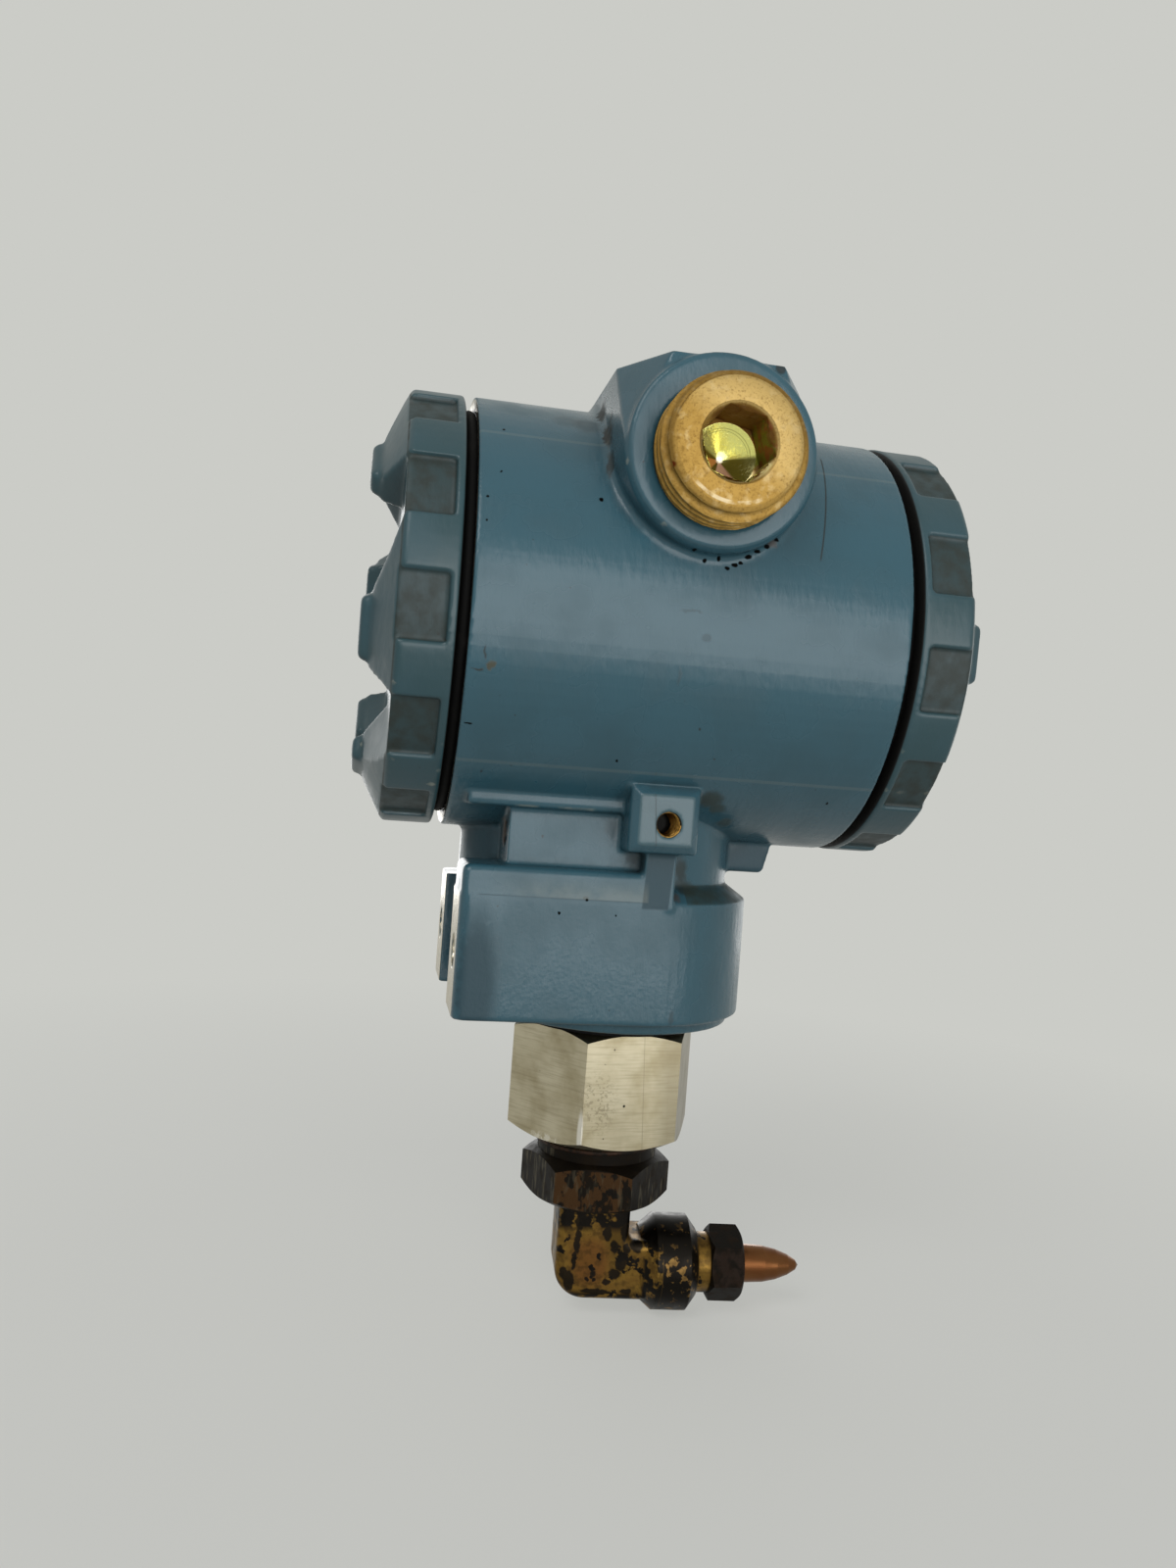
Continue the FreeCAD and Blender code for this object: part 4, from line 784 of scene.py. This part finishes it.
class TRANSMITTER_OT_sensor(bpy.types.Operator):
    """Finish the sensor's hexagon and the pieces sealed inside it"""
    bl_idname = "transmitter.sensor"
    bl_label = "Sensor"

    def execute(self, context):
        tones = context.scene.transmitter_colours
        # Stainless bar, milled across and brushed: warm grey with lines about 0.3 mm apart
        steel = two_tone("Stainless steel bar", (tones.steel, tones.steel_dark), 5.0, (0.30, 0.40), 1.0,
                         spread=(0.35, 0.85), bump=0.05, over=lambda mm: hexagon_wear(mm, tones))
        dress(steel, "sensor_body", "diaphragm", "sensor_header")
        # Amber polyimide film with copper lines across its width, drawn 0.5 mm apart
        film = two_tone("Polyimide film", ("A5601C", "C98235"), 0.5, (0.3, 0.45), spread=(0.45, 0.55),
                        stretch=(0.05, 1.0, 0.05))
        dress(film, "sensor_ribbon")
        # Rust is matt, with dark and brown grains 0.6 mm wide
        rusty = two_tone("Rusted steel", ("4A2E18", "2A1A10"), 0.6, (0.7, 0.9), 0.2, spread=(0.35, 0.65),
                         bump=0.5)
        dress(rusty, "lock_screw")
        return {"FINISHED"}


# Black patches on the elbow's cheek: place and reach along x, y and z
ELBOW_PATCHES = [
    ((25.9, -5.4, -46.7), (0.9, 2.0, 2.2)), ((25.6, -5.4, -50.3), (0.75, 2.0, 2.6)),
    ((25.2, -5.3, -53.6), (0.5, 2.0, 2.0)), ((24.6, -5.2, -57.2), (1.1, 2.0, 2.3)),
    ((23.6, -5.1, -55.8), (0.8, 1.8, 1.4)), ((22.8, -4.9, -51.8), (0.5, 1.5, 0.8)),
    ((30.7, -5.8, -48.6), (0.9, 2.0, 1.9)), ((31.9, -5.9, -51.0), (0.9, 2.0, 1.2)),
    ((33.2, -6.0, -53.9), (1.2, 2.0, 1.5)), ((32.2, -5.9, -55.6), (1.2, 2.0, 1.0)),
    ((30.9, -5.8, -57.0), (0.9, 2.0, 0.6)), ((33.6, -5.9, -48.2), (0.8, 2.2, 2.6)),
    ((34.1, -6.1, -51.4), (0.8, 2.0, 1.2)), ((35.8, -5.5, -51.0), (1.3, 2.5, 1.2)),
    ((29.3, -5.7, -58.8), (3.4, 2.0, 0.6)), ((34.4, -6.1, -58.7), (1.2, 2.0, 0.6)),
    ((28.7, -5.6, -55.7), (0.55, 1.5, 0.6)), ((27.6, -5.5, -56.8), (0.5, 1.5, 0.5)),
]


def bushing_wear(mm):
    """Brown dots and streaks on the bushing's flats."""
    front = both(facing(mm, (-0.22, -0.975, 0)), between(along(mm, (0, 0, 1)), -50, -36.6, 0.2))
    sides = either(facing(mm, (-0.95, -0.30, 0)), facing(mm, (0.74, -0.675, 0)))
    dots = blotches(mm, 1.5, 0.47, 0.53, detail=4.0, seed=4.0, stretch=(1.2, 1.2, 0.7))
    streaks = blotches(mm, 0.9, 0.52, 0.66, detail=4.0, seed=6.0, stretch=(1.3, 1.3, 0.22))
    return [(both(front, dots, 0.9), "46301A"), (both(sides, streaks, 0.6), "6A624F"),
            (both(front, streaks, 0.25), "6A624F")]


def elbow_wear(mm, tones):
    """Reddish and black patches and a brown film on the elbow."""
    moved = ragged(mm, 1.3)
    x, z = along(mm, (1, 0, 0)), along(mm, (0, 0, 1))
    flecks = blotches(mm, 1.7, 0.585, 0.62, detail=3.0, seed=9.0)
    core = near(mm, (28.0, -5.6, -53.8), (4.6, 4.0, 6.2), 0.6)
    top = both(between(z, -47.6, -43, 1.2), blotches(mm, 2.0, 0.40, 0.47, seed=1.0))
    flare = both(between(x, 37.4, 40.0, 0.5), blotches(mm, 2.6, 0.40, 0.46, seed=6.0))
    crown = both(between(x, 38, 48), between(z, -50.0, -44, 0.8),
                 blotches(mm, 2.2, 0.36, 0.43, seed=8.0))
    ring = between(x, 40.2, 46.5, 0.4)
    mottle = blotches(mm, 1.3, 0.395, 0.445, detail=4.0, seed=5.0)
    underside = both(between(z, -62.0, -59.4, 1.0), blotches(mm, 2.4, 0.40, 0.50, seed=3.0))
    patches = [both(near(moved, centre, reach, 0.3), 0.95) for centre, reach in ELBOW_PATCHES]
    black = either(flecks, top, flare, crown, both(ring, mottle), underside, *patches)
    # A brown film dulls the gold, thickest on the right of the leg
    film = either(blotches(mm, 1.1, 0.42, 0.66, detail=5.0, seed=16.0),
                  near(moved, (33.0, -6.0, -50.0), (3.6, 4.0, 5.0), 0.7))
    return [(both(core, 0.75), tones.brass_red), (both(ring, 0.5), "7E623C"),
            (both(film, 0.6), "3A2A12"), (black, tones.tarnish)]


def nut_wear(mm):
    """A browner facet on the tube nut."""
    facet = facing(mm, (-0.08, -0.97, 0.23))
    return [(both(facet, blotches(mm, 1.4, 0.38, 0.6, seed=7.0), 0.8), "2C221C")]


def tube_wear(mm):
    """Rubbed streaks along the tube."""
    rubs = blotches(mm, 1.3, 0.5, 0.75, detail=4.0, seed=2.0, stretch=(0.3, 1.0, 1.0))
    return [(both(rubs, 0.5), "6E4A2C")]


class TRANSMITTER_OT_fittings(bpy.types.Operator):
    """Finish the bushing, elbow, tube nut and tube"""
    bl_idname = "transmitter.fittings"
    bl_label = "Fittings"

    def execute(self, context):
        tones = context.scene.transmitter_colours
        # Brass left to tarnish: black and brown patches over dull gold
        dark = two_tone("Black tarnished brass", (tones.tarnish, "1E160D"), 2.4, (0.45, 0.65), 0.3,
                        spread=(0.45, 0.75), bump=0.3, over=bushing_wear, specular=0.1)
        mottled = two_tone("Mottled brass forging", (tones.brass, "6E5222"), 2.6, (0.30, 0.5), 0.85,
                           spread=(0.35, 0.65), bump=0.3, over=lambda mm: elbow_wear(mm, tones))
        nut = two_tone("Tarnished brass nut", (tones.tarnish, "241B13"), 1.8, (0.5, 0.65), 0.2,
                       spread=(0.45, 0.7), bump=0.25, over=nut_wear, specular=0.05)
        # Drawn copper gone brown, with duller rubs along the tube
        copper = two_tone("Drawn copper", (tones.copper, "6B4327"), 3.0, (0.26, 0.42), 1.0,
                          spread=(0.35, 0.7), stretch=(0.4, 1.0, 1.0), over=tube_wear)
        dress(dark, "bushing")
        dress(mottled, "elbow", "ferrule")
        dress(nut, "tube_nut")
        dress(copper, "copper_tube")
        return {"FINISHED"}


def tracks(mm):
    """Copper tracks under the board's solder mask."""
    lanes = add(mm.id_data, "ShaderNodeTexBrick", {
        "Vector": mm, "Scale": 0.16, "Mortar Size": 0.03, "Color1": (0, 0, 0, 1),
        "Color2": (0, 0, 0, 1), "Mortar": (1, 1, 1, 1)})
    return [(both(lanes.outputs["Fac"], 0.55), "3E8A58")]


class TRANSMITTER_OT_electronics(bpy.types.Operator):
    """Finish the board, terminals and screws inside the two chambers"""
    bl_idname = "transmitter.electronics"
    bl_label = "Electronics"

    def execute(self, context):
        tones = context.scene.transmitter_colours
        # Green solder mask is satin, with paler copper tracks under it
        board = two_tone("Glass epoxy board", (tones.board, "174B2B"), 5.0, (0.3, 0.4), over=tracks)
        # Moulded nylon is dull, black with fine glass grain or creamy white
        black = two_tone("Glass filled nylon", ("141414", "1E1E1D"), 0.7, (0.5, 0.65))
        white = two_tone("White nylon", ("DAD5C6", "CFC9B8"), 2.0, (0.4, 0.55))
        # Bright metal, with faint grey or gold patches about 1 mm wide
        can = two_tone("Drawn aluminium can", ("C4C5C7", "A9AAAD"), 0.8, (0.28, 0.4), 1.0,
                       stretch=(0.2, 1, 1))
        plated = two_tone("Zinc plated steel", ("BDBDBA", "9A9A97"), 0.9, (0.28, 0.42), 1.0)
        clamp = two_tone("Plated brass", ("C0A262", "A2854A"), 1.2, (0.28, 0.4), 1.0)
        dress(board, "circuit_board")
        dress(black, "board_chips", "feedthrough", "terminal_block")
        dress(can, "board_capacitors")
        dress(white, "board_connector")
        dress(plated, "board_screws", "terminal_screws", "block_screws", "inner_ground_screw")
        dress(clamp, "clamp_washers")
        return {"FINISHED"}


def thread_tree():
    """A node tree that winds a screw thread at each point of a mesh, up along Z."""
    tree = bpy.data.node_groups.new("screw_thread", "GeometryNodeTree")
    tree.interface.new_socket("Geometry", in_out="OUTPUT", socket_type="NodeSocketGeometry")
    tree.interface.new_socket("Points", in_out="INPUT", socket_type="NodeSocketGeometry")
    for name in ("Radius", "Pitch", "Turns", "Ridge"):
        tree.interface.new_socket(name, in_out="INPUT", socket_type="NodeSocketFloat")
    tree.interface.new_socket("Material", in_out="INPUT", socket_type="NodeSocketMaterial")
    given = add(tree, "NodeGroupInput").outputs
    rise = add(tree, "ShaderNodeMath", {0: given["Pitch"], 1: given["Turns"]}, operation="MULTIPLY")
    helix = add(tree, "GeometryNodeCurveSpiral", {
        "Resolution": 64, "Rotations": given["Turns"], "Start Radius": given["Radius"],
        "End Radius": given["Radius"], "Height": rise.outputs[0], "Reverse": True})
    section = add(tree, "GeometryNodeCurvePrimitiveCircle", {"Resolution": 6, "Radius": given["Ridge"]})
    ridge = add(tree, "GeometryNodeCurveToMesh", {
        "Curve": helix.outputs[0], "Profile Curve": section.outputs[0], "Fill Caps": True})
    wound = add(tree, "GeometryNodeInstanceOnPoints", {
        "Points": given["Points"], "Instance": ridge.outputs[0]})
    real = add(tree, "GeometryNodeRealizeInstances", {"Geometry": wound.outputs[0]})
    cover = add(tree, "GeometryNodeSetMaterial", {"Geometry": real.outputs[0], "Material": given["Material"]})
    add(tree, "NodeGroupOutput", {"Geometry": cover.outputs[0]})
    return tree


def wind_thread(tree, name, points, values, turn):
    """A plain mesh of a thread wound at each point by the tree, then turned into place."""
    base = bpy.data.meshes.new(name + "_points")
    base.from_pydata(points, [], [])
    holder = placed(name + "_points", base)
    modifier = holder.modifiers.new("thread", "NODES")
    modifier.node_group = tree
    known = {item.name: item.identifier for item in tree.interface.items_tree if item.in_out == "INPUT"}
    for key, value in values.items():
        modifier[known[key]] = value
    mesh = plain_mesh(holder)
    mesh.transform(turn)
    return smooth_piece(name, mesh)


class TRANSMITTER_OT_threads(bpy.types.Operator):
    """Wind the screw threads in the tapped holes, on the bushing and on the covers"""
    bl_idname = "transmitter.threads"
    bl_label = "Screw threads"

    def execute(self, context):
        tones = context.scene.transmitter_colours
        sizes = context.scene.transmitter_sizes
        tree = thread_tree()
        # Cut threads catch light on their crests and hold dirt in their roots
        cut = two_tone("Cut aluminium thread", (tones.machined, tones.steel_dark), 0.8, (0.3, 0.45), 1.0)
        soiled = two_tone("Soiled aluminium thread", ("4A473E", "26251F"), 0.8, (0.4, 0.6), 0.8,
                          spread=(0.35, 0.7))
        brassy = two_tone("Chromated thread", ("B88F4A", "6E5228"), 0.7, (0.3, 0.45), 1.0)
        rusty = two_tone("Tarnished pipe thread", ("3A2416", tones.tarnish), 1.0, (0.5, 0.7), 0.6,
                         spread=(0.35, 0.65))
        into_left = Matrix.Rotation(math.radians(90), 4, "Y")
        into_near = Matrix.Rotation(math.radians(-90), 4, "X")
        into_far = Matrix.Rotation(math.radians(90), 4, "X")
        upright = Matrix.Identity(4)
        ground = into_near.inverted() @ (Vector(GROUND_HOLE) / 1000) + Vector((0, 0, 0.0005))
        conduit = Vector((CONDUIT_AXIS[0], RING_FACE, CONDUIT_AXIS[2])) / 1000
        conduit = into_far.inverted() @ conduit + Vector((0, 0, 0.0008))
        brackets = [(0, side * BRACKET_HOLES[1] / 1000, 0.0008) for side in (1, -1)]
        left_seat, right_seat = (COVER_SEATS[n][0] / 1000 for n in ("circuit_cover", "terminal_cover"))
        axis = BARREL_AXIS[2] / 1000
        # Name, start of each thread, radius, pitch, turns, ridge, material, turn into place, body and slot
        plans = [
            ("bracket_hole_threads", brackets, 0.00255, sizes.bracket_pitch, 7, 0.00032, soiled, into_left,
             "case", "painted_casting"),
            ("ground_hole_thread", [tuple(ground)], 0.00195, sizes.ground_pitch, 9, 0.0002, brassy, into_near,
             "case", "painted_casting"),
            ("conduit_entry_thread", [tuple(conduit)], 0.0103, sizes.conduit_pitch, 5, 0.00045, cut, into_far,
             "case", "painted_casting"),
            ("bushing_thread", [(0.0288, 0, -0.0349)], 0.0103, sizes.plug_pitch, 1.5, 0.0005, rusty, upright,
             "case", "dark_brass"),
            ("circuit_cover_thread", [(-axis, 0, left_seat + 0.0014)], 0.03098, sizes.cover_pitch, 4, 0.0002,
             cut, into_left, "circuit_cap", "painted_casting"),
            ("terminal_cover_thread", [(-axis, 0, right_seat - 0.0076)], 0.03098, sizes.cover_pitch, 4,
             0.0002, cut, into_left, "terminal_cap", "painted_casting"),
        ]
        for name, points, radius, pitch, turns, ridge, made, turn, body, slot in plans:
            values = {"Radius": radius, "Pitch": pitch, "Turns": float(turns), "Ridge": ridge}
            piece = wind_thread(tree, name, points, {**values, "Material": made}, turn)
            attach(piece, body)
        return {"FINISHED"}


def seen(tree, *rays):
    """A mask of what some kinds of ray see."""
    path = add(tree, "ShaderNodeLightPath").outputs
    return either(*(path["Is " + ray + " Ray"] for ray in rays))


class TRANSMITTER_OT_stage(bpy.types.Operator):
    """Set the pale floor, the soft studio lights and the camera"""
    bl_idname = "transmitter.stage"
    bl_label = "Stage"

    def execute(self, context):
        scene = context.scene
        tones = scene.transmitter_colours
        levels = scene.transmitter_stage
        scene.view_settings.view_transform = "Standard"
        self.floor(tones)
        self.sky(scene, tones, levels)
        for name, spot, size, roll, level in LAMPS:
            lamp = bpy.data.lights.new(name, "AREA")
            lamp.shape = "RECTANGLE"
            lamp.size, lamp.size_y = size
            lamp.energy = getattr(levels, level)
            light = placed(name, lamp)
            aim = (Vector(STUDIO_AIM) - Vector(spot)).to_track_quat("-Z", "Y").to_matrix().to_4x4()
            light.matrix_world = Matrix.Translation(spot) @ aim @ Matrix.Rotation(math.radians(roll), 4, "Z")
            light.visible_camera = False
        self.camera(scene)
        return {"FINISHED"}

    def floor(self, tones):
        """A wide pale floor under the object, which fades into the background far away."""
        low = CAD_BOX[0][2] - FLOOR_GAP
        mesh = bpy.data.meshes.new("floor")
        rim = [(0.03 + FLOOR_R * math.cos(math.radians(a)), FLOOR_R * math.sin(math.radians(a)), low)
               for a in range(0, 360, 5)]
        mesh.from_pydata(rim, [], [range(len(rim))])
        # A matt painted board, which the camera and mirrors see paler than it lights the object
        made, tree, shader, mm = new_material("Pale board")
        shown = seen(tree, "Camera", "Glossy")
        wire(shader, {"Base Color": layered("8E8F8C", [(shown, tones.floor)]), "Roughness": 0.9,
                      "Specular IOR Level": 0.1})
        far = graded(off_axis(mm, (30, 0, 0), (1, 1, 0)), 0.65, start=90.0, full=FLOOR_R * 950)
        haze = add(tree, "ShaderNodeEmission", {"Color": tones.backdrop, "Strength": 1.0})
        fade = both(far, shown)
        mix = add(tree, "ShaderNodeMixShader", {0: fade, 1: shader.outputs[0], 2: haze.outputs[0]})
        wire(tree.nodes["Material Output"], {"Surface": mix.outputs[0]})
        mesh.materials.append(made)
        placed("floor", mesh)

    def sky(self, scene, tones, levels):
        """Even light on the object, with the pale background for what the camera and mirrors see."""
        world = bpy.data.worlds.new("studio")
        world.use_nodes = True
        tree = world.node_tree
        shown = seen(tree, "Camera", "Glossy", "Transmission")
        even = tree.nodes["Background"]
        wire(even, {"Color": linear("F4F6F8"), "Strength": levels.sky})
        pale = add(tree, "ShaderNodeBackground", {"Color": tones.backdrop, "Strength": 1.0})
        mix = add(tree, "ShaderNodeMixShader", {0: shown, 1: even.outputs[0], 2: pale.outputs[0]})
        wire(tree.nodes["World Output"], {"Surface": mix.outputs[0]})
        scene.world = world

    def camera(self, scene):
        """The camera that was fitted to the photograph."""
        data = bpy.data.cameras.new("camera")
        data.sensor_fit = "VERTICAL"
        data.sensor_height, data.sensor_width = SENSOR_MM
        data.lens = FOCAL_PIXELS / PHOTO_HEIGHT * data.sensor_height
        data.clip_start = 0.01
        camera = placed("camera", data)
        camera.matrix_world = Matrix.Translation(CAMERA_EYE) @ Matrix(CAMERA_AXES).transposed().to_4x4()
        scene.camera = camera


class TRANSMITTER_PT_panel(bpy.types.Panel):
    """Lists the pieces with their sizes and colours"""
    bl_label = "Transmitter"
    bl_space_type = "VIEW_3D"
    bl_region_type = "UI"
    bl_category = "Transmitter"

    def draw(self, context):
        column = self.layout.column()
        for operator in OPERATORS:
            column.operator(operator.bl_idname)
        for group in (context.scene.transmitter_sizes, context.scene.transmitter_colours,
                      context.scene.transmitter_stage):
            for name in group.bl_rna.properties.keys():
                if name not in ("rna_type", "name"):
                    column.prop(group, name)


GROUPS = {"transmitter_colours": TransmitterColours, "transmitter_sizes": TransmitterSizes,
          "transmitter_stage": TransmitterStage}
OPERATORS = (TRANSMITTER_OT_housing, TRANSMITTER_OT_covers, TRANSMITTER_OT_seals, TRANSMITTER_OT_plug,
             TRANSMITTER_OT_sensor, TRANSMITTER_OT_fittings, TRANSMITTER_OT_electronics,
             TRANSMITTER_OT_threads, TRANSMITTER_OT_stage)


def register():
    for made in (*GROUPS.values(), *OPERATORS, TRANSMITTER_PT_panel):
        bpy.utils.register_class(made)
    for name, group in GROUPS.items():
        setattr(bpy.types.Scene, name, PointerProperty(type=group))


def unregister():
    for name in GROUPS:
        delattr(bpy.types.Scene, name)
    for made in reversed((*GROUPS.values(), *OPERATORS, TRANSMITTER_PT_panel)):
        bpy.utils.unregister_class(made)


def main():
    register()
    for operator in OPERATORS:
        group, name = operator.bl_idname.split(".")
        getattr(getattr(bpy.ops, group), name)()


if __name__ == "__main__":
    main()
